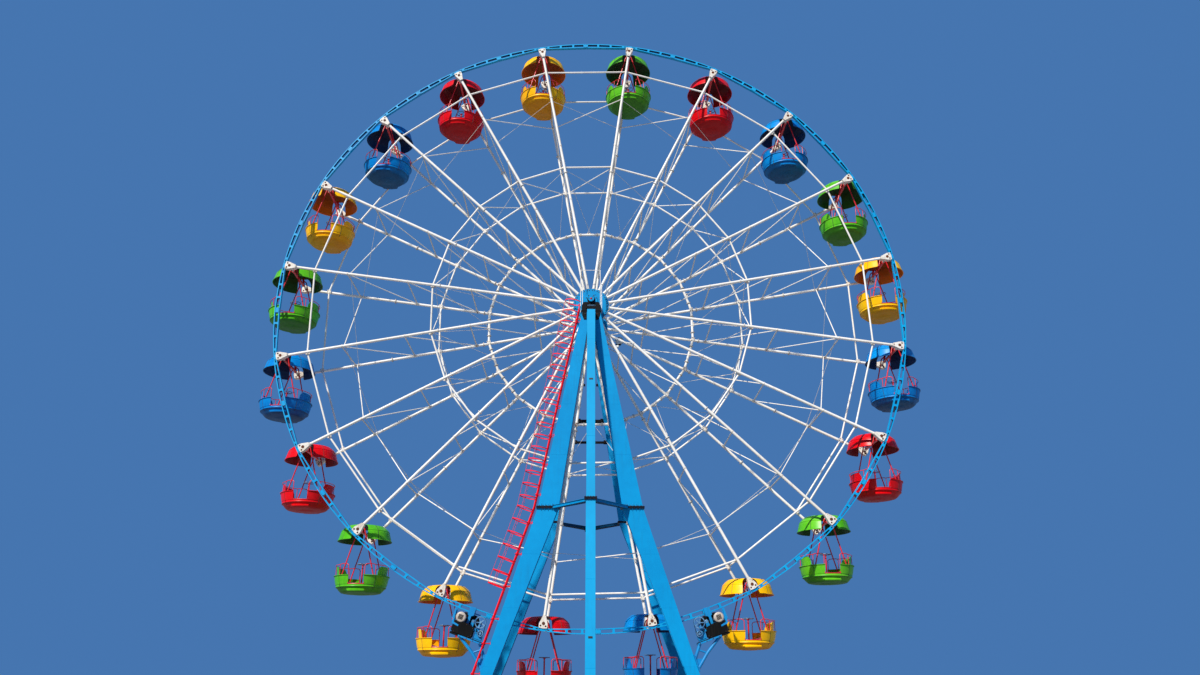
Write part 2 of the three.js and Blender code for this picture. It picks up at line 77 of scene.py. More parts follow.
def total(tree, first, second, clamp=False):
    return math_of(tree, "ADD", first, second, clamp)


def product(tree, first, second, clamp=False):
    return math_of(tree, "MULTIPLY", first, second, clamp)


def less(tree, first, second):
    return math_of(tree, "SUBTRACT", first, second, False)


def spread(tree, value, low, high, bottom=0.0, top=1.0):
    """A value stretched so that low becomes bottom and high becomes top."""
    feeds = {"Value": value, "From Min": low, "From Max": high, "To Min": bottom, "To Max": top}
    return node(tree, "MapRange", feeds).outputs[0]


def speckle(tree, coordinates, scale, detail=2.0, rough=0.5):
    """Cloudy noise, for patches when its scale is low and for grains when it is high."""
    feeds = {"Vector": coordinates, "Scale": scale, "Detail": detail, "Roughness": rough}
    return node(tree, "TexNoise", feeds).outputs[0]


def effect(name, inputs, outputs):
    """An empty shader group with its named sockets, and its two end nodes."""
    tree = bpy.data.node_groups.new(name, "ShaderNodeTree")
    for label, value in inputs.items():
        kind = "NodeSocketColor" if isinstance(value, tuple) else "NodeSocketFloat"
        socket = tree.interface.new_socket(name=label, in_out="INPUT", socket_type=kind)
        socket.default_value = value
    for label, kind in outputs.items():
        tree.interface.new_socket(name=label, in_out="OUTPUT", socket_type="NodeSocket" + kind)
    return tree, tree.nodes.new("NodeGroupInput"), tree.nodes.new("NodeGroupOutput")


def place_of(tree):
    """Where each point lies on its own piece."""
    return node(tree, "TexCoord").outputs["Object"]


def make_sun_fade():
    """Paint that has bleached in patches, some metres across and some a hand wide."""
    tree, given, out = effect("Sun fade", {"Fresh": (0, 0, 0, 1), "Faded": (1, 1, 1, 1), "Patches": 1.0},
                              {"Colour": "Color"})
    where = place_of(tree)
    wide = speckle(tree, where, given.outputs["Patches"], 3.0)
    close = speckle(tree, where, product(tree, given.outputs["Patches"], 14.0))
    both = total(tree, spread(tree, wide, 0.35, 0.7), spread(tree, close, 0.3, 0.8, -0.25, 0.25), True)
    tree.links.new(mixed(tree, both, given.outputs["Fresh"], given.outputs["Faded"]), out.inputs["Colour"])
    return tree


def make_dirt_and_shade():
    """Dirt drawn down in runs by rain, dust on what faces up, and painted shade on what faces down."""
    tree, given, out = effect("Dirt runs and painted shade", {"Amount": 0.5, "Runs": 9.0, "Dust": 0.3, "Grime": 0.0},
                              {"Mask": "Float"})
    where = place_of(tree)
    drawn = node(tree, "Mapping", {"Vector": where, "Scale": (1.0, 1.0, 0.09)}).outputs[0]
    runs = spread(tree, speckle(tree, drawn, given.outputs["Runs"], 3.0, 0.6), 0.48, 0.78)
    patches = spread(tree, speckle(tree, where, 0.7), 0.35, 0.65)
    up = node(tree, "SeparateXYZ", {0: node(tree, "NewGeometry").outputs["Normal"]}).outputs["Z"]
    lying = product(tree, spread(tree, up, 0.35, 1.0), given.outputs["Dust"])
    # Painted shade: what faces down is darkened towards the dirt colour, as if it lay in shade.
    hanging = product(tree, spread(tree, up, -0.25, -0.9), given.outputs["Grime"])
    streaked = product(tree, product(tree, runs, patches), given.outputs["Amount"])
    grains = spread(tree, speckle(tree, where, 26.0), 0.3, 0.7, 0.7, 1.0)
    laid = total(tree, streaked, total(tree, lying, hanging))
    tree.links.new(product(tree, laid, grains, True), out.inputs["Mask"])
    return tree


def make_flaking():
    """Paint that has flaked off in small chips, thick in some places and rare in others."""
    tree, given, out = effect("Flaking", {"Amount": 0.3, "Chips": 22.0},
                              {"Mask": "Float", "Colour": "Color", "Height": "Float"})
    where = place_of(tree)
    chips = speckle(tree, where, given.outputs["Chips"], 4.0, 0.65)
    zones = speckle(tree, where, 1.3)
    edge = less(tree, 0.86, product(tree, zones, given.outputs["Amount"]))
    mask = spread(tree, less(tree, chips, edge), 0.0, 0.05)
    rust = mixed(tree, spread(tree, speckle(tree, where, 60.0), 0.3, 0.7),
                 srgb(52, 26, 14), srgb(128, 68, 34))
    tree.links.new(mask, out.inputs["Mask"])
    tree.links.new(rust, out.inputs["Colour"])
    tree.links.new(less(tree, 1.0, mask), out.inputs["Height"])
    return tree


SUN_FADE = make_sun_fade()
DIRT_AND_SHADE = make_dirt_and_shade()
FLAKING = make_flaking()


def use(tree, group, **values):
    """A group placed in a material with its own values."""
    placed = tree.nodes.new("ShaderNodeGroup")
    placed.node_tree = group
    for name, value in values.items():
        placed.inputs[name].default_value = value
    return placed


def painted(name, fresh, faded, patches, dirt=0.5, dust=0.25, runs=9.0, dirt_and_shade_colour=(70, 62, 50),
            flaking=0.3, chips=22.0, shine=(0.45, 0.8), coat=0.0, metallic=0.0, peel=160.0, gloss=0.4,
            underside_shade=0.0):
    """Weathered paint on steel or moulded shell, from the shared effects and its own values, with painted
    shade on what faces down where its amount is set.
    """
    material = bpy.data.materials.new(name)
    material.use_nodes = True
    tree = material.node_tree
    shader = tree.nodes["Principled BSDF"]
    bleached = use(tree, SUN_FADE, Fresh=srgb(*fresh), Faded=srgb(*faded), Patches=patches)
    soil_and_shade_mask = use(tree, DIRT_AND_SHADE, Amount=dirt, Runs=runs, Dust=dust, Grime=underside_shade).outputs["Mask"]
    flaked = use(tree, FLAKING, Amount=flaking, Chips=chips)
    # The dirt colour is laid on where there are runs and dust, and also as painted shade on what faces down.
    colour = mixed(tree, soil_and_shade_mask, bleached.outputs["Colour"], srgb(*dirt_and_shade_colour))
    colour = mixed(tree, flaked.outputs["Mask"], colour, flaked.outputs["Colour"])
    tree.links.new(colour, shader.inputs["Base Color"])
    worn = total(tree, soil_and_shade_mask, flaked.outputs["Mask"], True)
    tree.links.new(spread(tree, worn, 0.0, 1.0, *shine), shader.inputs["Roughness"])
    skin = product(tree, speckle(tree, place_of(tree), peel, 1.0), 0.12)
    height = total(tree, flaked.outputs["Height"], skin)
    bump = node(tree, "Bump", {"Height": height, "Strength": 0.35, "Distance": 0.002})
    tree.links.new(bump.outputs[0], shader.inputs["Normal"])
    shader.inputs["Metallic"].default_value = metallic
    shader.inputs["Specular IOR Level"].default_value = gloss
    shader.inputs["Coat Weight"].default_value = coat
    shader.inputs["Coat Roughness"].default_value = 0.25
    return material


class Steelwork:
    """The parts of one piece as they are put together: points, faces and each face's finish."""

    def __init__(self):
        self.points = []
        self.faces = []
        self.finishes = []

    def add(self, points, faces, place=None, finish=0):
        """Adds a part, moved to its place, with one finish all over."""
        start = len(self.points)
        self.points += [place @ Vector(p) for p in points] if place else [Vector(p) for p in points]
        self.faces += [tuple(start + i for i in face) for face in faces]
        self.finishes += [finish] * len(faces)

    def put(self, other, place=None, finish=None):
        """Adds a copy of another assembly, moved to its place."""
        start = len(self.points)
        self.points += [place @ p for p in other.points] if place else other.points
        self.faces += [tuple(start + i for i in face) for face in other.faces]
        self.finishes += other.finishes if finish is None else [finish] * len(other.faces)


def grown(outline, distance):
    """An outline whose edges are moved inwards by a distance."""
    area = sum(a[0] * b[1] - b[0] * a[1] for a, b in zip(outline, outline[1:] + outline[:1]))
    turn = 1 if area > 0 else -1
    moved = []
    for before, at, after in zip(outline[-1:] + outline[:-1], outline, outline[1:] + outline[:1]):
        came = (Vector(at) - Vector(before)).normalized()
        goes = (Vector(after) - Vector(at)).normalized()
        inward = (Vector((-came.y, came.x)) + Vector((-goes.y, goes.x))) * turn
        inward = inward / max(inward.length_squared / 2, 0.2)
        moved.append((at[0] + inward.x * distance, at[1] + inward.y * distance))
    return moved


def plate(work, outline, thickness, place=None, finish=0, edge=0.002, holes=()):
    """Flat plate with eased edges, cut to an outline, with holes right through it."""
    loops = [list(outline)] + [list(hole) for hole in holes]
    points = []
    faces = []
    caps = {0: [], 3: []}
    for number, loop in enumerate(loops):
        inset = grown(loop, edge if number == 0 else -edge)
        levels = ((inset, 0.0), (loop, edge), (loop, thickness - edge), (inset, thickness))
        starts = []
        for level, height in levels:
            starts.append(len(points))
            points += [(x, y, height) for x, y in level]
        count = len(loop)
        for low, high in zip(starts, starts[1:]):
            faces += [(low + i, low + (i + 1) % count, high + (i + 1) % count, high + i)
                      for i in range(count)]
        for level in caps:
            caps[level].append(list(range(starts[level], starts[level] + count)))
    for rows in caps.values():
        if len(rows) == 1:
            faces.append(tuple(rows[0]))
            continue
        flat = [i for row in rows for i in row]
        faces += [tuple(flat[i] for i in triangle)
                  for triangle in tessellate_polygon([[Vector(points[i]) for i in row] for row in rows])]
    work.add(points, faces, place, finish)


def shift(x, y, z):
    """A place that is moved and not turned."""
    return Matrix.Translation((x, y, z))


def oblong(low, high):
    """Outline of an oblong between two corners."""
    return [(low[0], low[1]), (high[0], low[1]), (high[0], high[1]), (low[0], high[1])]


def block(work, low, high, finish=0, edge=0.002, place=None):
    """Square block or bar with eased edges, between two corners."""
    plate(work, oblong(low, high), high[2] - low[2], (place or Matrix()) @ shift(0, 0, low[2]), finish, edge)


def tube(work, path, radius, sides, finish=0, loop=False):
    """Round tube or rod along a path, mitred where the path turns."""
    path = [Vector(p) for p in path]
    count = len(path)
    steps = [(path[(i + 1) % count] - path[i]).normalized() for i in range(count if loop else count - 1)]
    came = steps[-1] if loop else steps[0]
    side = came.orthogonal().normalized()
    over = came.cross(side)
    points = []
    for i, centre in enumerate(path):
        goes = steps[i] if i < len(steps) else came
        across = (came + goes).normalized()
        for n in range(sides):
            angle = 2 * pi * n / sides
            offset = side * cos(angle) + over * sin(angle)
            points.append(centre + radius * (offset - came * (offset.dot(across) / came.dot(across))))
        turn = came.rotation_difference(goes)
        side, over, came = turn @ side, turn @ over, goes
    faces = []
    for i in range(count if loop else count - 1):
        low, high = i * sides, (i + 1) % count * sides
        faces += [(low + n, low + (n + 1) % sides, high + (n + 1) % sides, high + n) for n in range(sides)]
    if not loop:
        faces += [tuple(range(sides)), tuple(range(len(points) - sides, len(points)))]
    work.add(points, faces, None, finish)


def turned(work, section, sides, place=None, finish=0, ring=False):
    """Round part from half of its section, as (radius, height) about the Z axis."""
    points = []
    rows = []
    for radius, height in section:
        rows.append(list(range(len(points), len(points) + (sides if radius else 1))))
        for n in range(len(rows[-1])):
            angle = 2 * pi * n / sides
            points.append((radius * cos(angle), radius * sin(angle), height))
    faces = []
    for low, high in zip(rows, rows[1:] + rows[:1] if ring else rows[1:]):
        for n in range(sides):
            after = n + 1
            corners = [low[n % len(low)], low[after % len(low)], high[after % len(high)], high[n % len(high)]]
            faces.append(tuple(dict.fromkeys(corners)))
    work.add(points, faces, place, finish)


def disc(work, radius, thickness, sides, place=None, finish=0):
    """Plain round plate."""
    turned(work, [(0, 0), (radius, 0), (radius, thickness), (0, thickness)], sides, place, finish)


def sleeve(work, bore, radius, length, sides, place, finish=0):
    """Plain round collar with a bore."""
    turned(work, [(bore, 0), (radius, 0), (radius, length), (bore, length)], sides, place, finish, True)


def facing(at, along):
    """A place whose Z axis points along a direction."""
    return Matrix.Translation(at) @ Vector(along).to_track_quat("Z", "Y").to_matrix().to_4x4()


UP = (0, 0, 1)
SHARP_EDGE = 38
PAINT, BOLTS, JOINT = range(3)
HEXAGON_BOLT = Steelwork()
disc(HEXAGON_BOLT, 1.5, 0.25, 10)
turned(HEXAGON_BOLT, [(0, 0.2), (1.0, 0.2), (1.0, 0.8), (0.8, 0.95), (0, 0.95)], 6)
turned(HEXAGON_BOLT, [(0, 0.9), (0.5, 0.9), (0.5, 1.35), (0, 1.4)], 8)


def bolt(work, at, along, size, finish=BOLTS):
    """Bolt with its washer and nut, pointing out of a face."""
    work.put(HEXAGON_BOLT, facing(at, along) @ Matrix.Scale(size, 4), finish)


def upright(y, x=0, z=0):
    """Place of a plate that stands in the wheel's plane, its thickness towards +Y."""
    return Matrix(((1, 0, 0, x), (0, 0, 1, y), (0, 1, 0, z), (0, 0, 0, 1)))


def sideways(x):
    """Place of a plate that stands across the wheel's plane, its thickness towards +X."""
    return Matrix(((0, 0, 1, x), (1, 0, 0, 0), (0, 1, 0, 0), (0, 0, 0, 1)))


def piece(name, work, finishes, body, slot, *replaced, place=Matrix()):
    """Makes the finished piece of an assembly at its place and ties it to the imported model."""
    mesh = bpy.data.meshes.new(name)
    mesh.from_pydata([tuple(place @ p) for p in work.points], [], work.faces)
    mesh.polygons.foreach_set("material_index", work.finishes)
    shell = bmesh.new()
    shell.from_mesh(mesh)
    bmesh.ops.recalc_face_normals(shell, faces=shell.faces)
    shell.to_mesh(mesh)
    shell.free()
    for finish in finishes:
        mesh.materials.append(finish)
    mesh.shade_smooth()
    mesh.set_sharp_from_angle(angle=radians(SHARP_EDGE))
    made = bpy.data.objects.new(name, mesh)
    bpy.context.scene.collection.objects.link(made)
    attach(made, body)
    if replaced:
        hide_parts(*replaced)


LEG_NEAR, LEG_FAR = 1.62, 1.98
HEAD = 16.34
KNEE = 8.1
COVER = 0.016
LIP = 0.02
LEG_HEAD = (0.04, 0.39)
LEG_KNEE = (1.24, 2.06)
LEG_FOOT = (4.32, 4.70)
FLANGE = 0.042
FLANGE_GAP = 0.003
FLANGE_FRONT = 2.05
BASE = 0.06
BASE_SPREAD = 0.16
LEG_WELDS = (2.2, 4.3, 6.3, 10.2, 12.3, 14.4)
KNEE_BOLTS, KNEE_BOLT_STEP = 6, 0.14

tower_blue = painted("tower blue", (0, 136, 192), (0, 150, 206), patches=0.25, dirt=0.28,
                     dirt_and_shade_colour=(14, 84, 112), flaking=0.2, gloss=0.15)
bolt_steel = painted("bolt steel", (52, 54, 58), (78, 74, 70), patches=3.0, dirt=0.8, flaking=0.7,
                     chips=40.0, metallic=0.5)
# Near-black paint on the knee flanges, as painted shade for their undersides seen from below.
knee_flange_shade = painted("knee flange painted shade", (10, 16, 30), (22, 26, 38), patches=2.0, dirt=0.4, dust=0.1,
                     dirt_and_shade_colour=(34, 28, 26), shine=(0.5, 0.85), gloss=0.2)
DEPTHS = {"front": Matrix.Diagonal((1, -1, 1, 1)), "rear": Matrix()}
HANDS = {"left": Matrix.Diagonal((-1, 1, 1, 1)), "right": Matrix()}


def leg_edges(z):
    """Inner and outer edge of a leg at a height."""
    if z < KNEE:
        low, high, share = LEG_FOOT, LEG_KNEE, z / KNEE
    else:
        low, high, share = LEG_KNEE, LEG_HEAD, (z - KNEE) / (HEAD - KNEE)
    return tuple(a + (b - a) * share for a, b in zip(low, high))


def girder_length(work, bottom, top):
    """One length of a leg: two cover plates with lips over a narrower box."""
    (in_low, out_low), (in_high, out_high) = leg_edges(bottom), leg_edges(top)
    cover = [(in_low, bottom), (out_low, bottom), (out_high, top), (in_high, top)]
    for y in (LEG_NEAR, LEG_FAR - COVER):
        plate(work, cover, COVER, upright(y), PAINT, 0.003)
    box = [(in_low + LIP, bottom), (out_low - LIP, bottom), (out_high - LIP, top), (in_high + LIP, top)]
    plate(work, box, LEG_FAR - LEG_NEAR - 0.03, upright(LEG_NEAR + 0.015))


def knee_flanges(work, x0, x1, y0, y1):
    """Two flanges that are bolted face to face at the knee."""
    for low in (KNEE - FLANGE, KNEE + FLANGE_GAP):
        block(work, (x0, y0, low), (x1, y1, low + FLANGE - FLANGE_GAP), JOINT, 0.004)


def fin(work, x, y, z, reach, height, thickness=0.012):
    """Three-cornered stiffener that stands on a flange against a face."""
    outline = [(y, z), (y + reach, z), (y, z + height)]
    plate(work, outline, thickness, sideways(x - thickness / 2))


def anchored_base(work, x0, x1, y0, y1):
    """Plate under the foot of a girder, with six anchor bolts."""
    x0, x1, y0, y1 = x0 - BASE_SPREAD, x1 + BASE_SPREAD, y0 - BASE_SPREAD, y1 + BASE_SPREAD
    block(work, (x0, y0, 0), (x1, y1, BASE), PAINT, 0.008)
    for x in (x0 + 0.07, (x0 + x1) / 2, x1 - 0.07):
        for y in (y0 + 0.06, y1 - 0.06):
            bolt(work, (x, y, BASE), UP, 0.026)


def make_leg():
    """The rear right leg; the others are its mirror images."""
    work = Steelwork()
    girder_length(work, BASE, KNEE - FLANGE)
    girder_length(work, KNEE + FLANGE, HEAD)
    knee_flanges(work, LEG_KNEE[0] - 0.06, LEG_KNEE[1] + 0.06, LEG_NEAR - LIP, FLANGE_FRONT)
    for up in (-1, 1):
        face = KNEE + up * FLANGE
        for n in range(KNEE_BOLTS):
            x = LEG_KNEE[0] + 0.06 + KNEE_BOLT_STEP * n
            bolt(work, (x, LEG_FAR + 0.036, face), (0, 0, up), 0.022)
            if n < KNEE_BOLTS - 1:
                fin(work, x + KNEE_BOLT_STEP / 2, LEG_FAR, face, 0.055, up * 0.13)
    for z in LEG_WELDS:
        inner, outer = leg_edges(z)
        block(work, (inner + 0.004, LEG_FAR - 0.004, z), (outer - 0.004, LEG_FAR + 0.003, z + 0.014))
        for x0, x1 in ((inner - 0.001, inner + LIP), (outer - LIP, outer + 0.001)):
            block(work, (x0, LEG_NEAR + 0.02, z), (x1, LEG_FAR - 0.02, z + 0.05))
    anchored_base(work, *LEG_FOOT, LEG_NEAR, LEG_FAR)
    for x in (LEG_FOOT[0] + 0.09, LEG_FOOT[1] - 0.09):
        fin(work, x, LEG_FAR, BASE, 0.13, 0.3, 0.016)
        fin(work, x, LEG_NEAR, BASE, -0.13, 0.3, 0.016)
    return work


leg = make_leg()
for depth, to_depth in DEPTHS.items():
    for hand, to_hand in HANDS.items():
        piece(f"{depth}_{hand}_leg_girder", leg, [tower_blue, bolt_steel, knee_flange_shade], "tower", "steel_blue",
              f"{depth}_{hand}_leg", place=to_hand @ to_depth)


# Struts
# A leaning strut props each pair of legs, in front and behind. It is a narrower box
# girder of the same welded plate, bolted at its own knee, with two small covers over the
# hand holes through which its joints were tightened.

STRUT_HALF = 0.18
STRUT_HEAD = (1.98, 2.28)
STRUT_FOOT = (5.25, 5.60)
HAND_HOLES = (3.11, 13.07)
HOLE_COVER = 3
STRUT_WELDS = (2.1, 5.1, 10.6, 14.9)

dark_paint = painted("dark machine paint", (20, 22, 26), (40, 42, 46), patches=1.5, dirt=0.7, dust=0.4,
                     dirt_and_shade_colour=(96, 86, 70), flaking=0.4, shine=(0.5, 0.85))
# The strut's blue is a slightly lighter copy of the tower's blue, as painted light on its leaning faces,
# which catch more sun and sky.
strut_sunlit_blue = painted("strut blue with painted light", (0, 144, 194), (0, 154, 204), patches=0.3, dirt=0.24,
                     dirt_and_shade_colour=(14, 98, 128), flaking=0.2, shine=(0.45, 0.75), gloss=0.15)


def strut_depth(z):
    """Near and far face of a strut at a height."""
    return tuple(foot + (head - foot) * z / HEAD for foot, head in zip(STRUT_FOOT, STRUT_HEAD))


def strut_length(work, bottom, top, half):
    """One length of a strut: front and back covers over a narrower box."""
    (near_low, far_low), (near_high, far_high) = strut_depth(bottom), strut_depth(top)
    for low, high, inward in ((near_low, near_high, COVER), (far_low, far_high, -COVER)):
        outline = [(low, bottom), (low + inward, bottom), (high + inward, top), (high, top)]
        plate(work, outline, 2 * half, sideways(-half), PAINT, 0.003)
    box = [(near_low + COVER, bottom), (far_low - COVER, bottom), (far_high - COVER, top),
           (near_high + COVER, top)]
    plate(work, box, 2 * (half - LIP), sideways(LIP - half))


def make_strut():
    """The rear strut; the front one is its mirror image."""
    work = Steelwork()
    strut_length(work, BASE, KNEE - FLANGE, STRUT_HALF)
    strut_length(work, KNEE + FLANGE, HEAD, STRUT_HALF - 0.012)
    near, far = strut_depth(KNEE)
    knee_flanges(work, -STRUT_HALF - 0.06, STRUT_HALF + 0.06, near + 0.02, far + 0.085)
    for x in (-0.2, -0.1, 0.0, 0.1, 0.2):
        bolt(work, (x, far + 0.05, KNEE + FLANGE), UP, 0.02)
        bolt(work, (x, far + 0.055, KNEE - FLANGE), (0, 0, -1), 0.02)
    lean = atan2(STRUT_FOOT[1] - STRUT_HEAD[1], HEAD)
    for z in HAND_HOLES:
        place = shift(0, strut_depth(z)[1], z) @ Matrix.Rotation(lean, 4, "X")
        block(work, (-0.075, -0.004, -0.036), (0.075, 0.014, 0.036), HOLE_COVER, 0.005, place)
        for x in (-0.055, 0.055):
            bolt(work, place @ Vector((x, 0.012, 0)), (0, 1, 0), 0.009)
    for z in STRUT_WELDS:
        far = strut_depth(z)[1]
        block(work, (-STRUT_HALF + 0.01, far - 0.01, z), (STRUT_HALF - 0.01, far + 0.002, z + 0.014))
    anchored_base(work, -STRUT_HALF, STRUT_HALF, *STRUT_FOOT)
    return work


strut = make_strut()
for depth, to_depth in DEPTHS.items():
    piece(f"{depth}_strut_girder", strut, [strut_sunlit_blue, bolt_steel, knee_flange_shade, dark_paint], "tower",
          "steel_blue", f"{depth}_strut", place=to_depth)


# Knee ties
# A level V of plate girder joins each strut to the knees of its two legs, and keeps the
# tall frame from racking. It is welded from top and bottom plates with a web between
# them, and bolted through the knee flanges.

TIE_NEAR = FLANGE_FRONT + 0.001
TIE_APEX = strut_depth(KNEE + 0.06)[0]
TIE_KNEE, TIE_HALF = LEG_KNEE[0] + 0.13, 0.13
TIE_LOW, TIE_HIGH = KNEE - 0.06, KNEE + 0.06


def tie_outline(inset):
    """Outline of the V seen from above, drawn in by an inset."""
    side = TIE_HALF - inset
    return [(-TIE_KNEE - side, TIE_NEAR), (-TIE_KNEE + side, TIE_NEAR), (0, TIE_APEX - 0.26 + inset),
            (TIE_KNEE - side, TIE_NEAR), (TIE_KNEE + side, TIE_NEAR), (STRUT_HALF - inset, TIE_APEX - inset),
            (-STRUT_HALF + inset, TIE_APEX - inset)]


def make_knee_tie():
    """The rear tie; the front one is its mirror image."""
    work = Steelwork()
    for low in (TIE_LOW, TIE_HIGH - 0.014):
        plate(work, tie_outline(0.0), 0.014, shift(0, 0, low), PAINT, 0.003)
    plate(work, tie_outline(0.03), TIE_HIGH - TIE_LOW - 0.02, shift(0, 0, TIE_LOW + 0.01))
    for hand in (-1, 1):
        for across in (-0.07, 0.0, 0.07):
            bolt(work, (hand * (TIE_KNEE + across), TIE_NEAR + 0.07, TIE_HIGH), UP, 0.018)
        for share in (0.3, 0.55, 0.8):
            x, y = hand * TIE_KNEE * (1 - share), TIE_NEAR + (TIE_APEX - 0.13 - TIE_NEAR) * share
            block(work, (x - 0.1, y - 0.008, TIE_LOW - 0.004), (x + 0.1, y + 0.008, TIE_LOW + 0.006))
    for x in (-0.12, 0.0, 0.12):
        bolt(work, (x, TIE_APEX - 0.09, TIE_HIGH), UP, 0.018)
    return work


# Both tie paints carry painted shade on what faces down, and the rear tie's blue is a darker copy of the
# front's, as painted shade.
tie_shaded_blues = {
    "front": painted("front tie blue with painted shade", (0, 128, 184), (0, 146, 202), patches=0.25, dirt=0.4,
                     dirt_and_shade_colour=(10, 40, 60), flaking=0.2, gloss=0.15, underside_shade=0.9),
    "rear": painted("rear tie blue with painted shade", (4, 60, 92), (4, 76, 112), patches=0.25, dirt=0.6,
                    dirt_and_shade_colour=(14, 30, 42), gloss=0.15, underside_shade=0.9),
}
knee_tie = make_knee_tie()
for depth, to_depth in DEPTHS.items():
    piece(f"{depth}_knee_tie_girder", knee_tie, [tie_shaded_blues[depth], bolt_steel], "tower", "steel_blue",
          f"{depth}_knee_tie", place=to_depth)


# Bearings
# The axle turns in a pillow block on each side of the wheel. The block is a dark casting
# bolted down on the heads of the two legs, with lightening slots in its face and cheek
# plates below it, and its cap is plate steel in the tower's blue.

HUB = 16.9
BEARING_HALF = 0.43
BEARING_NEAR, BEARING_FAR = 1.6, 2.0
BEARING_FOOT, BEARING_DECK = 16.3403, 16.78
CASTING_LOW, SHOULDER, CASTING_HALF = 16.39, 16.6, 0.4
LIGHTENING_SLOTS = ((16.47, 0.17, 0.034), (16.65, 0.16, 0.04))
CHEEK_LOW, CHEEK_SEAT, CHEEK_INNER, CHEEK_OUTER = 15.98, 1.981, 0.19, 0.385
CAP_RADIUS, CAP_BOLT_RING = 0.29, 0.225
AXLE_BORE = 0.117
PRIMER, CAP = 2, 3

cast_iron = painted("cast iron", (3, 3, 4), (8, 9, 10), patches=2.5, dirt=0.4, dust=0.1,
                    dirt_and_shade_colour=(40, 36, 30), flaking=0.16, shine=(0.6, 0.9), gloss=0.15)
primer_grey = painted("pale primer", (150, 200, 214), (186, 218, 222), patches=2.0, dirt=0.4)
lamp_red = painted("red lamp glass", (150, 22, 12), (190, 44, 20), patches=6.0, dirt=0.4, flaking=0.0,
                   shine=(0.12, 0.5), coat=0.8)


def arc(radius, start, end, steps, centre=(0.0, 0.0)):
    """Points of an arc, its angles in degrees from the first axis."""
    angles = [radians(start + (end - start) * n / steps) for n in range(steps + 1)]
    return [(centre[0] + radius * cos(a), centre[1] + radius * sin(a)) for a in angles]


def slot_hole(x, z, half, radius):
    """Long hole with round ends."""
    return arc(radius, -90, 90, 5, (x + half, z)) + arc(radius, 90, 270, 5, (x - half, z))


def make_bearing():
    """The rear pillow block; the front one is its mirror image."""
    work = Steelwork()
    block(work, (-BEARING_HALF, BEARING_NEAR, BEARING_FOOT), (BEARING_HALF, BEARING_FAR, BEARING_FOOT + 0.05),
          0, 0.008)
    face = [(-CASTING_HALF, CASTING_LOW), (CASTING_HALF, CASTING_LOW), (CASTING_HALF, SHOULDER),
            (0.33, BEARING_DECK), (-0.33, BEARING_DECK), (-CASTING_HALF, SHOULDER)]
    slots = [slot_hole(0, *slot) for slot in LIGHTENING_SLOTS]
    for y in (BEARING_FAR - 0.05, BEARING_NEAR):
        plate(work, face, 0.05, upright(y), 0, 0.008, slots)
    inner = [(x * 0.94, z) for x, z in face[:2]] + [(0.36, BEARING_DECK - 0.02), (-0.36, BEARING_DECK - 0.02)]
    plate(work, inner, 0.278, upright(BEARING_NEAR + 0.06), PRIMER, 0.01)
    for hand in (-1, 1):
        cheek = [(hand * CHEEK_INNER, CHEEK_LOW), (hand * 0.30, CHEEK_LOW), (hand * CHEEK_OUTER, 16.2),
                 (hand * CHEEK_OUTER, BEARING_FOOT), (hand * CHEEK_INNER, BEARING_FOOT)]
        plate(work, cheek if hand > 0 else cheek[::-1], 0.014, upright(CHEEK_SEAT), 0, 0.004)
        for z in (CHEEK_LOW + 0.07, 16.25):
            bolt(work, (hand * 0.25, CHEEK_SEAT + 0.014, z), (0, 1, 0), 0.016)
    for x in (-0.38, -0.2, 0.2, 0.38):
        stiffener = oblong((BEARING_NEAR + 0.02, CASTING_LOW - 0.01), (BEARING_FAR - 0.02, SHOULDER))
        plate(work, stiffener, 0.02, sideways(x - 0.01), 0, 0.003)
    for x in (-0.405, 0.405):
        for y in (BEARING_NEAR + 0.05, BEARING_FAR - 0.05):
            bolt(work, (x, y, BEARING_FOOT + 0.05), UP, 0.02)
    cap = [(-CAP_RADIUS, BEARING_DECK), (CAP_RADIUS, BEARING_DECK), *arc(CAP_RADIUS, 0, 180, 24, (0, HUB))]
    bore = arc(AXLE_BORE, 0, 345, 23, (0, HUB))
    for y, depth, size in ((BEARING_NEAR + 0.02, 0.3, 1.0), (BEARING_FAR - 0.08, 0.06, 0.94)):
        shaped = [(x * size, HUB + (z - HUB) * size) for x, z in cap]
        plate(work, shaped, depth, upright(y), CAP, 0.01, [bore])
    block(work, (-0.2, BEARING_NEAR + 0.05, HUB + 0.265), (0.2, BEARING_FAR - 0.12, HUB + 0.295), CAP, 0.006)
    for x, z in (arc(CAP_BOLT_RING, angle, angle, 1, (0, HUB))[0] for angle in (20, 60, 120, 160)):
        bolt(work, (x, BEARING_FAR - 0.02, z), (0, 1, 0), 0.017)
    for x in (-0.25, 0.25):
        bolt(work, (x, BEARING_FAR - 0.09, BEARING_DECK), UP, 0.022)
    ring = facing((0, BEARING_FAR - 0.02, HUB), (0, 1, 0))
    turned(work, [(0.125, 0), (0.17, 0), (0.17, 0.02), (0.16, 0.03), (0.125, 0.03)], 24, ring, 0, True)
    return work


bearing = make_bearing()
for depth, to_depth in DEPTHS.items():
    piece(f"{depth}_pillow_block", bearing, [cast_iron, bolt_steel, primer_grey, tower_blue], "tower",
          "dark_steel", f"{depth}_bearing", place=to_depth)


# Hub
# The hub is a drum of rolled plate with a thick round flange at each end, on a turned
# steel axle. Every spoke is bolted to the edge of a flange, with a dark notch between
# each two of them, and ribs stiffen the flanges against the drum.

WHEEL_TURN = -1.3
BAY = 18.0
HALF_BAY = radians(BAY / 2)
CHORD_PLANE = 1.3
FLANGE_RADIUS, NOTCH_RADIUS = 0.77, 0.735
DRUM_RADIUS = 0.56
AXLE_RADIUS, AXLE_NOSE, AXLE_HALF = 0.108, 0.095, 2.09
DARK, AXLE, LENS = 2, 3, 4

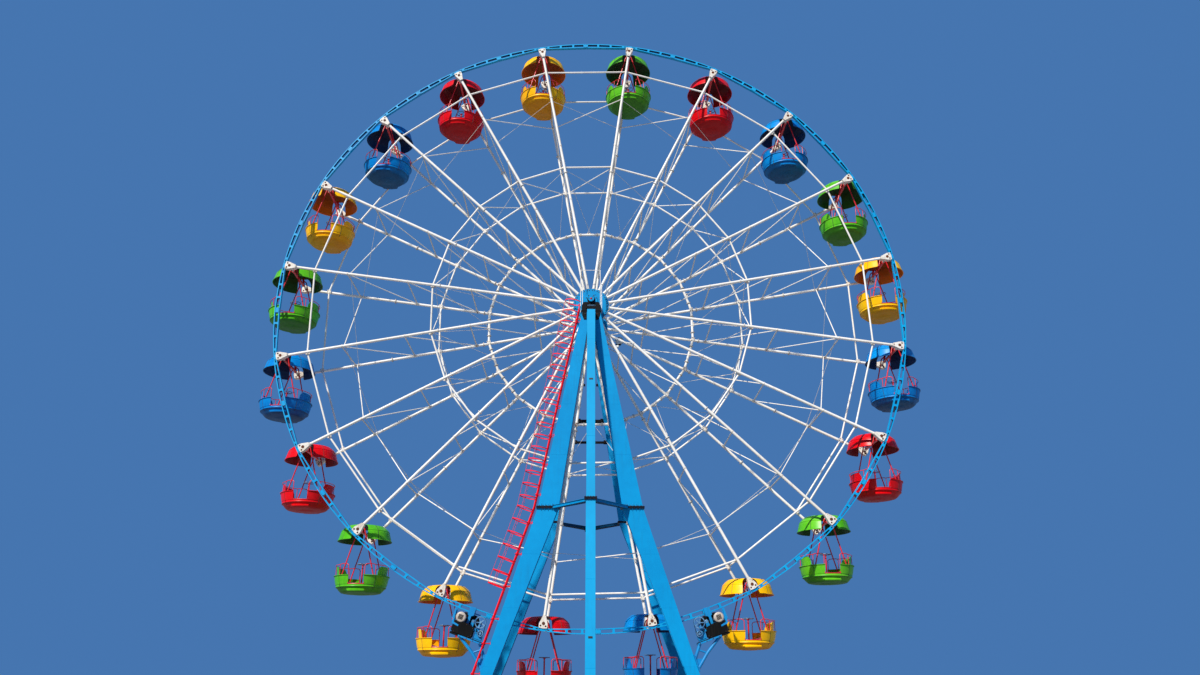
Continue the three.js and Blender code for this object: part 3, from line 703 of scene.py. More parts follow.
axle_steel = painted("turned axle steel", (98, 100, 104), (130, 128, 124), patches=4.0, dirt=0.8,
                     dirt_and_shade_colour=(40, 34, 28), shine=(0.3, 0.7), metallic=0.8)


def turned_by(angle):
    """A turn about the axle, clockwise in degrees."""
    return Matrix.Rotation(radians(angle), 4, "Y")


def wheel_place(angle):
    """Place in the wheel at a clockwise angle in degrees: Z points out along that radius."""
    return shift(0, 0, HUB) @ turned_by(angle)


def around_hub(radius, angle, y):
    """Point at a radius from the axle and a clockwise angle in degrees."""
    return Vector((radius * sin(radians(angle)), y, radius * cos(radians(angle))))


BAY_PLACES = [wheel_place(BAY * n + WHEEL_TURN) for n in range(20)]
SPOKE_PLACES = [wheel_place(BAY * (n + 0.5) + WHEEL_TURN) for n in range(20)]


def make_hub():
    """Drum, flanges and axle with their ribs and bolts, about the hub's centre."""
    work = Steelwork()
    notched = [(-7.2, FLANGE_RADIUS), (-4.5, FLANGE_RADIUS), (-2.2, FLANGE_RADIUS), (-1.6, NOTCH_RADIUS),
               (1.6, NOTCH_RADIUS), (2.2, FLANGE_RADIUS), (4.5, FLANGE_RADIUS), (7.2, FLANGE_RADIUS)]
    edge = [around_hub(radius, bay * BAY + offset, 0).xz for bay in range(20) for offset, radius in notched]
    hollow = arc(AXLE_RADIUS + 0.01, 0, 345, 23)
    for side in (-1, 1):
        out = (0, side, 0)
        plate(work, edge, 0.12, upright(side * CHORD_PLANE - 0.06), 0, 0.008, [hollow])
        face = side * (CHORD_PLANE + 0.06)
        boss = [(0.112, -0.02), (0.27, -0.02), (0.27, 0.05), (0.2, 0.1), (0.19, 0.16), (0.112, 0.16)]
        turned(work, boss, 32, facing((0, face, 0), out), 0, True)
        for n in range(12):
            bolt(work, around_hub(0.235, 30 * n + 8, face + side * 0.05), out, 0.016)
        for bay in range(20):
            turn = turned_by(bay * BAY)
            for y in (face - side * 0.03, face - side * 0.09):
                bolt(work, turn @ Vector((0, y, 0.738)), turn @ Vector(UP), 0.016, DARK)
            for across in (-0.045, 0.045):
                bolt(work, turn @ turned_by(BAY / 2) @ Vector((across, face, 0.69)), out, 0.016)
            if bay % 2 == 0:
                rib = [(DRUM_RADIUS - 0.01, 0), (0.74, 0), (0.7, 0.1), (DRUM_RADIUS - 0.01, 0.45)]
                inward = Matrix(((0, 0, 1, -0.008), (0, -side, 0, side * (CHORD_PLANE - 0.06)), (1, 0, 0, 0),
                                 (0, 0, 0, 1)))
                plate(work, rib, 0.016, turn @ inward, 0, 0.003)
    band = DRUM_RADIUS + 0.006
    turned(work, [(0.53, 0.05), (DRUM_RADIUS, 0.05), (DRUM_RADIUS, 1.28), (band, 1.285), (band, 1.315),
                  (DRUM_RADIUS, 1.32), (DRUM_RADIUS, 2.55), (0.53, 2.55)], 64,
           facing((0, -CHORD_PLANE, 0), (0, 1, 0)), 0, True)
    length = 2 * AXLE_HALF
    axle = [(0, 0), (AXLE_NOSE, 0), (AXLE_RADIUS, 0.015), (AXLE_RADIUS, length - 0.015), (AXLE_NOSE, length),
            (0, length)]
    turned(work, axle, 24, facing((0, -AXLE_HALF, 0), (0, 1, 0)), AXLE)
    for side in (-1, 1):
        end = facing((0, side * (AXLE_HALF - 0.015), 0), (0, side, 0))
        turned(work, [(0, 0), (0.128, 0), (0.128, 0.022), (0.12, 0.03), (0, 0.03)], 24, end)
        for n in range(3):
            bolt(work, around_hub(0.09, 120 * n + 30, side * (AXLE_HALF + 0.015)), (0, side, 0), 0.011)
        turned(work, [(0, 0.005), (0.05, 0.005), (0.05, 0.03), (0.036, 0.048), (0, 0.055)], 16, end, LENS)
    return work


piece("hub_with_flanges", make_hub(), [tower_blue, bolt_steel, dark_paint, axle_steel, lamp_red], "wheel",
      "steel_blue", "hub_drum", place=wheel_place(WHEEL_TURN))


# Spoke frames
# Twenty flat trusses fan out from the hub. Each has a front and a rear spoke of white
# tube, four grey cross struts with diagonals between them, and at the tips two flared
# boxes of plate, open and rusty inside, which hold the shaft of one cabin.

SPOKE_RADIUS = 0.058
STRUT_RADII = (2.5, 5.25, 8.05, 10.7)
PIVOT_RADIUS = 13.25
SHAFT_RADIUS = 0.042
CROSS_HALF, CROSS_RADIUS = 1.2, 0.028
DIAGONAL_RADIUS = 0.021
RIM_CORNER, RIM_MIDDLE = 13.44, 13.325
TIP_SLOPE = (RIM_CORNER - RIM_MIDDLE * cos(HALF_BAY)) / (RIM_MIDDLE * sin(HALF_BAY))
GUSSET_LOW, GUSSET_KNEE = 12.97, 13.27
GUSSET_NARROW, GUSSET_WIDE, GUSSET_HALF = 0.062, 0.165, 0.11
TIP_HOLE, TIP_HOLE_RADIUS = (0.098, 13.345), 0.036
SHEET = 0.012

spoke_white = painted("spoke white", (242, 238, 228), (226, 219, 204), patches=0.6, dirt=0.4, dust=0.08,
                      dirt_and_shade_colour=(150, 122, 92), chips=18.0, shine=(0.38, 0.8))
rusty_white = painted("rusty white", (232, 226, 214), (212, 200, 180), patches=3.0, dirt=0.7, runs=14.0,
                      dirt_and_shade_colour=(138, 96, 62), flaking=0.48, chips=13.0, shine=(0.5, 0.85))
joint_grey = painted("galvanised grey", (206, 200, 186), (222, 214, 200), patches=2.0, dirt=0.6,
                     dirt_and_shade_colour=(120, 98, 76), flaking=0.36, shine=(0.4, 0.75), metallic=0.1)
bare_rust = painted("bare rust", (70, 36, 22), (104, 58, 34), patches=5.0, dirt=0.6, flaking=0.8,
                    chips=30.0, shine=(0.8, 0.95), peel=70.0)
WHITE, RUSTY, GREY, RUST, NUTS = range(5)
SPOKE_FINISHES = [spoke_white, rusty_white, joint_grey, bare_rust, bolt_steel]
SPOKE_JOINTS = ((1, 9.07, 0.105, GREY), (1, 4.93, 0.1, GREY), (-1, 6.62, 0.092, WHITE))


def flange_pair(work, at, along, radius, finish, thickness=0.016):
    """Two round flanges bolted face to face across a tube."""
    place = facing(at, along)
    for low in (-thickness - 0.001, 0.001):
        high, eased_radius = low + thickness, radius - 0.003
        turned(work, [(0, low), (eased_radius, low), (radius, low + 0.003), (radius, high - 0.003),
                      (eased_radius, high), (0, high)], 20, place, finish)
    for n in range(6):
        angle = 2 * pi * n / 6
        for side in (-1, 1):
            spot = Vector((cos(angle) * radius * 0.8, sin(angle) * radius * 0.8, side * thickness))
            bolt(work, place @ spot, place.to_3x3() @ Vector((0, 0, side)), 0.01, NUTS)


def make_gusset(work, side):
    """Flared box at the tip of a spoke, with two round holes in each face."""
    tip, wide = RIM_CORNER - 0.0005, GUSSET_WIDE
    shoulder = tip - wide * TIP_SLOPE
    outline = [(-GUSSET_NARROW, GUSSET_LOW), (GUSSET_NARROW, GUSSET_LOW), (wide, GUSSET_KNEE),
               (wide, shoulder), (0, tip), (-wide, shoulder), (-wide, GUSSET_KNEE)]
    across, height = TIP_HOLE
    holes = [arc(TIP_HOLE_RADIUS, 0, 330, 11, (x, height)) for x in (-across, across)]
    near, far = side * CHORD_PLANE - GUSSET_HALF, side * CHORD_PLANE + GUSSET_HALF
    for y in (near, far - SHEET):
        plate(work, outline, SHEET, upright(y), RUSTY, holes=holes)
    plate(work, grown(outline, 0.05), 0.19, upright(near + 0.015), RUST)
    for start, end in zip(outline, outline[1:] + outline[:1]):
        along = Vector((end[0] - start[0], end[1] - start[1]))
        if along.length < 0.13 or start[1] == end[1]:
            continue
        out = Vector((-along.y, along.x)).normalized() * SHEET
        strip = [start, end, (end[0] + out.x, end[1] + out.y), (start[0] + out.x, start[1] + out.y)]
        plate(work, strip, far - near - 0.02, upright(near + 0.01), RUSTY)
    for y in (near - 0.004, far - 0.008):
        rib = oblong((-0.014, GUSSET_LOW + 0.02), (0.014, GUSSET_LOW + 0.21))
        plate(work, rib, SHEET, upright(y), RUSTY)
    for y, out in ((near, -1), (far, 1)):
        disc(work, 0.062, 0.008, 16, facing((0, y, PIVOT_RADIUS), (0, out, 0)), RUST)


def make_spoke_frame():
    """One truss, standing along +Z from the hub's centre."""
    work = Steelwork()
    for side in (-1, 1):
        plane = side * CHORD_PLANE
        foot = FLANGE_RADIUS - 0.005
        tube(work, [(0, plane, foot), (0, plane, GUSSET_LOW + 0.1)], SPOKE_RADIUS, 16, WHITE)
        disc(work, 0.082, 0.016, 20, shift(0, plane, foot + 0.003), RUSTY)
        turned(work, [(0.057, 0), (0.07, 0), (0.066, 0.05), (0.057, 0.05)], 20,
               shift(0, plane, GUSSET_LOW - 0.04), RUSTY, True)
        make_gusset(work, side)
    for side, height, radius, finish in SPOKE_JOINTS:
        flange_pair(work, (0, side * CHORD_PLANE, height), UP, radius, finish)
    for radius in STRUT_RADII:
        tube(work, [(0, -CROSS_HALF, radius), (0, CROSS_HALF, radius)], CROSS_RADIUS, 12, GREY)
        for side in (-1, 1):
            plane = side * CHORD_PLANE
            lug = [(plane - side * 0.15, radius - 0.05), (plane - side * 0.05, radius - 0.11),
                   (plane - side * 0.05, radius + 0.07), (plane - side * 0.15, radius + 0.05)]
            plate(work, lug, SHEET, sideways(-SHEET / 2), RUSTY)
            sleeve(work, 0.057, 0.068, 0.05, 16, shift(0, plane, radius - 0.025), RUSTY)
    for outer, inner in zip(STRUT_RADII[1:], STRUT_RADII):
        diagonal = [(0, -CROSS_HALF, outer - 0.06), (0, CROSS_HALF, inner + 0.06)]
        tube(work, diagonal, DIAGONAL_RADIUS, 10, WHITE)
    tube(work, [(0, -CROSS_HALF, STRUT_RADII[0] - 0.06), (0, 1.24, 0.95)], DIAGONAL_RADIUS, 10, WHITE)
    end = CHORD_PLANE + GUSSET_HALF
    tube(work, [(0, -end, PIVOT_RADIUS), (0, end, PIVOT_RADIUS)], SHAFT_RADIUS, 20, GREY)
    for side in (-1, 1):
        turned(work, [(0.043, -0.03), (0.06, -0.03), (0.064, -0.02), (0.064, 0.01), (0.043, 0.01)], 16,
               facing((0, side * (CHORD_PLANE - 0.124), PIVOT_RADIUS), (0, side, 0)), NUTS, True)
    return work


spoke_frame = make_spoke_frame()
for number, place in enumerate(SPOKE_PLACES, 1):
    piece(f"spoke_truss_{number:02d}", spoke_frame, SPOKE_FINISHES, "wheel", "steel_white",
          f"spoke_frame_{number:02d}", place=place)


# Tie rings
# Straight white tubes run from spoke to spoke and close two rings on each face of the
# wheel. A thicker ring stands nearer the hub, on the rear face only. Every tube ends in
# a flattened lug that is bolted to a plate on the spoke.

OUTER_RING, MIDDLE_RING, INNER_RING = 12.17, 6.95, 4.68
THIN_TIE, THICK_TIE = 0.038, 0.055
RINGS = (("front_outer_ties", OUTER_RING, THIN_TIE, -1), ("rear_outer_ties", OUTER_RING, THIN_TIE, 1),
         ("front_middle_ties", MIDDLE_RING, THIN_TIE, -1), ("rear_middle_ties", MIDDLE_RING, THIN_TIE, 1),
         ("inner_ring", INNER_RING, THICK_TIE, 1))


def make_ring_bay(radius, thickness, side):
    """One tie from the spoke at -9 degrees to the spoke at +9 degrees, and its lugs."""
    work = Steelwork()
    y = side * (CHORD_PLANE - SPOKE_RADIUS + 0.003 - thickness)
    ends = [around_hub(radius, sign * BAY / 2, y) for sign in (-1, 1)]
    along = (ends[1] - ends[0]).normalized()
    shy = 0.05 if thickness == THIN_TIE else 0.03
    tube(work, [ends[0] + along * shy, ends[1] - along * shy], thickness, 14, WHITE)
    for end, inward in ((ends[0], along), (ends[1], -along)):
        if thickness == THIN_TIE:
            lug = [(0, -0.01), (thickness + 0.006, -0.01), (thickness + 0.009, 0), (thickness + 0.006, 0.01),
                   (0, 0.01)]
            turned(work, lug, 14, facing(end + inward * 0.09, inward), RUSTY)
        else:
            flange_pair(work, end + inward * 0.34, inward, 0.095, GREY, 0.014)
    corner = turned_by(BAY / 2)
    seat = y - side * thickness
    lug = oblong((-0.085, radius - 0.085), (0.085, radius + 0.085))
    plate(work, lug, SHEET, corner @ upright(seat - SHEET / 2), RUSTY)
    for across in (-0.055, 0.055):
        for up in (-0.05, 0.05):
            spot = corner @ Vector((across, seat - side * SHEET / 2, radius + up))
            bolt(work, spot, (0, -side, 0), 0.011, NUTS)
    return work


for name, radius, thickness, side in RINGS:
    bay_of_ring = make_ring_bay(radius, thickness, side)
    ring = Steelwork()
    for place in BAY_PLACES:
        ring.put(bay_of_ring, place)
    piece(f"{name}_tubes", ring, SPOKE_FINISHES, "wheel", "steel_white", name)


# Bracing rods
# In every bay a white stay tube and a thin rod cross between the front and the rear face
# of the wheel at two radii, and two rods slant to the inner ring. The stays are welded
# on, and each rod is drawn tight by a turnbuckle. The two halves are mirror images.

ROD_RADIUS, STAY_RADIUS = 0.009, 0.022
SPOKE_INSIDE = 1.235
ROD_ENDS, STAYS = 1, 2

rod_grey = painted("galvanised rod", (212, 206, 194), (226, 220, 206), patches=2.0,
                   dirt_and_shade_colour=(130, 104, 78), flaking=0.34, shine=(0.4, 0.75), metallic=0.1)


def rod(work, start, end):
    """Drawn rod with a turnbuckle and an eye at each end."""
    start, end = Vector(start), Vector(end)
    along = (end - start).normalized()
    at = start.lerp(end, 0.24)
    tube(work, [start, end], ROD_RADIUS, 8)
    tube(work, [at - along * 0.09, at + along * 0.09], ROD_RADIUS * 2.1, 8, ROD_ENDS)
    for tip, inward in ((start, along), (end, -along)):
        tube(work, [tip, tip + inward * 0.1], ROD_RADIUS * 1.7, 8, ROD_ENDS)


def make_rod_bay(half):
    """The bracing of one bay; its stays run from the front at -half to the rear at +half degrees."""
    work = Steelwork()
    for radius in (STRUT_RADII[-1] - 0.07, MIDDLE_RING - 0.07):
        stay = [around_hub(radius, -half, -SPOKE_INSIDE), around_hub(radius, half, SPOKE_INSIDE)]
        tube(work, stay, STAY_RADIUS, 10, STAYS)
        rod(work, around_hub(radius - 0.06, -half, SPOKE_INSIDE),
            around_hub(radius - 0.06, half, -SPOKE_INSIDE))
    foot = INNER_RING * cos(radians(half))
    for sign in (-1, 1):
        rod(work, around_hub(MIDDLE_RING - 0.03, sign * half, -SPOKE_INSIDE),
            (sign * 0.07, CROSS_HALF, foot + 0.05))
    lug = [(-0.12, foot + 0.035), (0.12, foot + 0.035), (0.09, foot + 0.1), (-0.09, foot + 0.1)]
    plate(work, lug, SHEET, upright(CROSS_HALF - 0.015), ROD_ENDS)
    return work


rods = Steelwork()
for hand, places in ((-1, BAY_PLACES[:10]), (1, BAY_PLACES[10:])):
    rods_of_bay = make_rod_bay(hand * BAY / 2)
    for place in places:
        rods.put(rods_of_bay, place)
piece("bracing_rods", rods, [rod_grey, rusty_white, spoke_white], "wheel", "steel_white")


# Rim
# The rim is a light box of blue plate on the front face only. Its sides are cut out into
# windows with narrow battens between them, and its outer strip is the track on which the
# drive wheels press. Splice plates with bolts join its lengths.

RIM_OUTER = 13.536
RIM_FRONT, RIM_BACK = -1.37, -1.23
RIM_CHORD = 0.042
WINDOW_PERIOD = 0.598
BATTENS = (-3, -2, -1, 0, 1, 2, 3)
BATTEN_HALF = 0.045
SPLICE_HALF = 0.11
WINDOW_END = 1.99
SEAT_ACROSS, SEAT_HALF = 0.13, 0.035
SHADE_IN_BOX = 2

rim_blue = painted("rim blue", (0, 146, 204), (6, 162, 214), patches=0.5, dirt=0.35,
                   dirt_and_shade_colour=(14, 88, 116), flaking=0.26, shine=(0.4, 0.75), gloss=0.2)
# Near-black blue inside the rim box, as painted shade, so that its windows show dark.
rim_box_shade_paint = painted("rim box painted shade", (10, 40, 62), (12, 52, 78), patches=3.0, dirt=0.8,
                       dirt_and_shade_colour=(16, 20, 22), shine=(0.4, 0.8))


def rim_inner(x):
    """Height of the inner chord in a bay at a distance from its middle."""
    return RIM_MIDDLE + (RIM_CORNER * cos(HALF_BAY) - RIM_MIDDLE) * abs(x) / (RIM_CORNER * sin(HALF_BAY))


def rim_outer(x):
    """Height of the outer edge in a bay at a distance from its middle."""
    return sqrt(RIM_OUTER * RIM_OUTER - x * x)


def rim_face(x0, x1, low, high):
    """Outline from a distance above the inner chord to a distance below the outer edge."""
    return [(x0, rim_inner(x0) + low), (x1, rim_inner(x1) + low), (x1, rim_outer(x1) - high),
            (x0, rim_outer(x0) - high)]


def rim_strip(edge, x0, x1, near, far):
    """Outline of a strip that follows one edge of the rim."""
    return [(x0, edge(x0) + near), (x1, edge(x1) + near), (x1, edge(x1) + far), (x0, edge(x0) + far)]


def eased(corners, ease):
    """An outline whose corners are cut off by a small amount, less on short sides."""
    points = []
    for before, at, after in zip(corners[-1:] + corners[:-1], corners, corners[1:] + corners[:1]):
        here = Vector(at)
        for side in (Vector(before) - here, Vector(after) - here):
            points.append(tuple(here + side.normalized() * min(ease, side.length * 0.35)))
    return points


def make_rim_bay():
    """One bay of the rim between the spokes at -9 and +9 degrees."""
    work = Steelwork()
    end, low_end = RIM_OUTER * sin(HALF_BAY), RIM_CORNER * sin(HALF_BAY)
    steps = [end * (n / 8 - 1) for n in range(17)]
    side = [(x, rim_outer(x)) for x in steps]
    side += [(low_end, rim_inner(low_end)), (0, RIM_MIDDLE), (-low_end, rim_inner(low_end))]
    bars = [(n * WINDOW_PERIOD, SPLICE_HALF if n == 0 else BATTEN_HALF) for n in BATTENS]
    edges = [-WINDOW_END, *(x + side * half for x, half in bars for side in (-1, 1)), WINDOW_END]
    windows = [eased(rim_face(x0, x1, RIM_CHORD, RIM_CHORD), 0.022)
               for x0, x1 in zip(edges[::2], edges[1::2])]
    for y in (RIM_FRONT, RIM_BACK - 0.01):
        plate(work, side, 0.01, upright(y), holes=windows)
    depth = RIM_BACK - RIM_FRONT
    # The track is a blue strip with a strip of painted shade under it, inside the box.
    for x0, x1 in zip(steps, steps[1:]):
        for finish, top, bottom, shy in ((0, 0, 0.009, 0.002), (SHADE_IN_BOX, 0.009, 0.013, 0.011)):
            track = rim_strip(rim_outer, x0, x1, -top, -bottom)
            plate(work, track, depth - 2 * shy, upright(RIM_FRONT + shy), finish, 0.0015)
    for x0, x1 in ((-low_end, 0), (0, low_end)):
        strip = rim_strip(rim_inner, x0, x1, 0.001, 0.013)
        plate(work, strip, depth - 0.004, upright(RIM_FRONT + 0.002), 0, 0.0015)
    # The battens, set back inside the box, take the painted shade.
    for x, half in bars:
        block(work, (x - half, RIM_FRONT + 0.012, rim_inner(x) + 0.01),
              (x + half, RIM_BACK - 0.012, rim_outer(x) - 0.014), SHADE_IN_BOX, 0.003)
    for y, head, out in ((RIM_FRONT - 0.01, RIM_FRONT - 0.01, -1), (RIM_BACK, RIM_BACK + 0.01, 1)):
        plate(work, rim_face(-SPLICE_HALF, SPLICE_HALF, 0.012, 0.014), 0.01, upright(y))
        for across in (-0.085, -0.03, 0.03, 0.085):
            for z in (rim_inner(0) + 0.037, rim_outer(0) - 0.04):
                bolt(work, (across, head, z), (0, out, 0), 0.009)
    return work


rim = Steelwork()
rim_bay = make_rim_bay()
for bay_place, spoke_place in zip(BAY_PLACES, SPOKE_PLACES):
    rim.put(rim_bay, bay_place)
    for across in (-SEAT_ACROSS, SEAT_ACROSS):
        block(rim, (across - SEAT_HALF, RIM_FRONT - 0.008, RIM_CORNER),
              (across + SEAT_HALF, RIM_FRONT + 0.004, RIM_CORNER + 0.08), place=spoke_place)
        for z in (RIM_CORNER + 0.015, RIM_CORNER + 0.065):
            bolt(rim, spoke_place @ Vector((across, RIM_FRONT - 0.008, z)), (0, -1, 0), 0.01)
piece("windowed_rim", rim, [rim_blue, bolt_steel, rim_box_shade_paint], "wheel", "steel_blue", "rim")


# Cabins
# Each cabin is moulded in coloured glass fibre: a domed canopy over a round tub that
# bulges below its two doorways. Red steelwork holds them together and hangs them from
# the shaft: two bent frames, handrails, bench tops and a centre post with its wheel.

CABIN_COLOURS = ("green", "red", "blue", "green", "yellow", "blue", "red", "green", "yellow", "blue",
                 "red", "yellow", "green", "red", "blue", "green", "yellow", "blue", "red", "yellow")
SEAM, SHADE_INSIDE = 1, 2
GRIP = 2
CROWN = ((0, 0.345), (0.25, 0.34), (0.5, 0.322), (0.66, 0.30), (0.735, 0.283), (0.748, 0.272), (0.748, 0.262),
         (0.735, 0.262), (0.64, 0.287), (0.48, 0.31), (0.25, 0.328), (0, 0.333))
CROWN_SIDES = 48
BAND = ((0.742, 0.278), (0.80, 0.235), (0.87, 0.175), (0.935, 0.105), (0.958, 0.075), (0.962, 0.062),
        (0.952, 0.056), (0.966, 0.045), (0.985, -0.02), (1.015, -0.13), (1.045, -0.24), (1.058, -0.285),
        (1.083, -0.298), (1.083, -0.318))
BAND_LINING = ((0.728, 0.272), (0.79, 0.225), (0.86, 0.165), (0.922, 0.098), (0.944, 0.07), (0.948, 0.06),
               (0.94, 0.052), (0.953, 0.04), (0.972, -0.022), (1.002, -0.132), (1.032, -0.242),
               (1.044, -0.29), (1.05, -0.31), (1.05, -0.318))
NOTCH = (0.17, 0.235, 0.275, 0.295, 0.30, 0.30, 0.30, 0.30, 0.303, 0.312, 0.322, 0.33, 0.345, 0.35)
WALL = ((1.098, -1.692), (1.098, -1.712), (1.082, -1.722), (1.066, -1.735), (1.055, -1.80), (1.025, -1.95),
        (1.0, -2.05))
WALL_LINING = ((1.03, -1.692), (1.03, -1.712), (1.042, -1.725), (1.045, -1.74), (1.038, -1.80),
               (1.008, -1.95), (0.975, -2.05))
DOORWAY = 0.30
BOWL = ((0.992, -2.045), (0.978, -2.10), (0.985, -2.118), (0.99, -2.128), (0.984, -2.14), (0.955, -2.155),
        (0.945, -2.163), (0.925, -2.18), (0.895, -2.215), (0.855, -2.26), (0.81, -2.305), (0.765, -2.337),
        (0.68, -2.357), (0.5, -2.372), (0.32, -2.382), (0.30, -2.392), (0.12, -2.399), (0.02, -2.40))
BOWL_BULGE = {8: 0.902, 9: 0.950, 10: 0.935, 11: 0.87}
BULGE_HALF = 26
BULGE_EDGE = 4
BOWL_COLUMNS, HALF_COLUMNS = 72, 30
SEAM_ANGLES = (43, 137, 223, 317)
WELL_HALF, WELL_REACH, WELL_FLOOR = 0.38, 0.60, -2.30
STEP_FLOOR = -2.14
BENCH_TOP = -1.935
TUB_INSIDE = 0.985
HANDRAIL_RING, HANDRAIL = 1.045, -1.295
GRIP_RING, GRIP_HEIGHT = 0.215, -1.20
BACK_HALF = 40
BACK_TOP = -1.34
HANGER_Y = 0.76
HANGER_BORE, HANGER_LEDGE = 0.046, 0.188
HANGER_ARCH = (0.14, 0.03)
HANGER_FOOT = (0.645, -1.80)
DOOR_HOOP = ((1.0, 0, -2.04), (1.025, 0, -1.72), (1.04, 0, -1.34), (1.043, 0.12, -1.285), (1.045, 0.3, -1.27),
             (1.045, 0.75, -1.27), (1.045, 1, -1.295))


def cabin_paint(name, fresh, faded, shade_and_soil):
    """Coloured gel coat with some dirt, and painted shade on what faces down."""
    return painted(f"cabin {name}", fresh, faded, patches=0.6, dirt=0.25, dust=0.04, dirt_and_shade_colour=shade_and_soil,
                   flaking=0.05, coat=0.06, peel=60.0, shine=(0.36, 0.7), gloss=0.18, underside_shade=0.8)


# The third colour of each is the dirt colour and also the painted shade of the tub's underside.
cabin_paints = {name: cabin_paint(name, *colours) for name, *colours in (
    ("green", (72, 172, 18), (104, 192, 36), (24, 54, 16)),
    ("red", (212, 0, 10), (228, 12, 20), (136, 0, 0)),
    ("blue", (0, 108, 184), (2, 142, 212), (2, 14, 24)),
    ("yellow", (250, 180, 0), (253, 200, 4), (190, 106, 0)))}
# Darker copies of the cabin colours, as painted shade for the underside of each canopy.
cabin_shaded_insides = {name: cabin_paint(f"{name} lining", *colours) for name, *colours in (
    ("green", (22, 78, 12), (34, 96, 18), (24, 36, 12)),
    ("red", (120, 2, 12), (142, 10, 16), (44, 10, 10)),
    ("blue", (4, 44, 92), (8, 58, 110), (10, 22, 38)),
    ("yellow", (198, 98, 4), (212, 118, 8), (96, 46, 8)))}
seam_dark = painted("dark seam filler", (34, 30, 28), (60, 52, 46), patches=3.0, dirt=0.6, flaking=0.2,
                    shine=(0.6, 0.9))
red_steel = painted("red steelwork", (206, 18, 28), (224, 44, 46), patches=1.2, dirt=0.45,
                    dirt_and_shade_colour=(84, 30, 24), chips=30.0, coat=0.2, shine=(0.3, 0.7))
wheel_grey = painted("grip wheel grey", (96, 124, 146), (140, 156, 168), patches=4.0, dirt=0.6,
                     flaking=0.4, chips=40.0, shine=(0.35, 0.7))


def moulding(work, outer, inner, around=False, place=None, inside_shade_finish=0):
    """Thin moulded shell between an outer and an inner grid of points, closed on all sides; its inner faces
    take their own finish, which the canopy uses for painted shade.
    """
    rows, columns = len(outer), len(outer[0])

    def at(layer, row, column):
        return (layer * rows + row) * columns + column % columns

    steps = range(columns if around else columns - 1)
    outside, inside = (
        [(at(layer, row, column), at(layer, row, column + 1), at(layer, row + 1, column + 1),
          at(layer, row + 1, column)) for column in steps for row in range(rows - 1)] for layer in (0, 1))
    rims = [(at(0, row, column), at(0, row, column + 1), at(1, row, column + 1), at(1, row, column))
            for column in steps for row in (0, rows - 1)]
    if not around:
        rims += [(at(0, row, column), at(0, row + 1, column), at(1, row + 1, column), at(1, row, column))
                 for row in range(rows - 1) for column in (0, columns - 1)]
    work.add([point for row in outer + inner for point in row], outside + rims + inside, place)
    work.finishes[-len(inside):] = [inside_shade_finish] * len(inside)


def half_ring(section, openings, side):
    """Rows of points round one half of a cabin, from one opening to the other."""
    rows = []
    for (radius, height), opening in zip(section, openings):
        start = asin(opening / radius)
        angles = [start + (pi - 2 * start) * n / HALF_COLUMNS for n in range(HALF_COLUMNS + 1)]
        rows.append([(side * radius * sin(a), -radius * cos(a), height) for a in angles])
    return rows


def round_cabin(radius, azimuth, height):
    """Point of a cabin at an azimuth in degrees, which runs from the front round the right side."""
    return (radius * sin(radians(azimuth)), -radius * cos(radians(azimuth)), height)


def bowl_rows(size, lift):
    """Grid of the tub's lower shell, with its bulge below each doorway."""
    rows = []
    for number, (radius, height) in enumerate(BOWL):
        row = []
        for azimuth in (360 * n / BOWL_COLUMNS for n in range(BOWL_COLUMNS)):
            off_door = min(azimuth % 180, 180 - azimuth % 180)
            share = max(0.0, min(1.0, (BULGE_HALF - off_door) / BULGE_EDGE))
            pushed = radius + (BOWL_BULGE.get(number, radius) - radius) * share
            row.append(round_cabin(pushed * size, azimuth, height + lift))
        rows.append(row)
    return rows


def make_seat_back(work, side):
    """Curved back rest of one bench, its top corners rounded."""
    azimuths = [BACK_HALF * (n / 12 - 1) for n in range(25)]
    tops = [BACK_TOP - max(0.0, (abs(azimuth) - 30) / (BACK_HALF - 30)) ** 2 * 0.2 for azimuth in azimuths]
    grids = [[[round_cabin(0.93 + 0.07 * share + offset, 90 * side + azimuth,
                           BENCH_TOP + (top - BENCH_TOP) * share) for azimuth, top in zip(azimuths, tops)]
              for share in (step / 6 for step in range(7))] for offset in (0.007, -0.007)]
    moulding(work, *grids)


def make_cabin_shell():
    """Canopy, tub, seat backs and seams, measured from the middle of the shaft."""
    work = Steelwork()
    turned(work, CROWN, CROWN_SIDES)
    # The canopy's underside and the inside of its band take the painted shade.
    underside = CROWN_SIDES * (len(CROWN) // 2)
    work.finishes[-underside:] = [SHADE_INSIDE] * underside
    for side in (-1, 1):
        moulding(work, half_ring(BAND, NOTCH, side), half_ring(BAND_LINING, NOTCH, side), inside_shade_finish=SHADE_INSIDE)
        doors = [DOORWAY] * len(WALL)
        moulding(work, half_ring(WALL, doors, side), half_ring(WALL_LINING, doors, side))
        make_seat_back(work, side)
        riser = [(-WELL_REACH, WELL_FLOOR), (WELL_REACH, WELL_FLOOR), (WELL_REACH, STEP_FLOOR),
                 (0.87, STEP_FLOOR), (0.885, -1.96), (-0.885, -1.96), (-0.87, STEP_FLOOR),
                 (-WELL_REACH, STEP_FLOOR)]
        plate(work, riser, 0.012, sideways(side * (WELL_HALF + 0.006) - 0.006))
    moulding(work, bowl_rows(1.0, 0.0), bowl_rows(0.97, 0.02), True)
    for azimuth in SEAM_ANGLES:
        for section in (BAND[:-1], WALL[2:] + BOWL[4:9]):
            tube(work, [round_cabin(r - 0.004, azimuth, z) for r, z in section], 0.01, 6, SEAM)
    return work


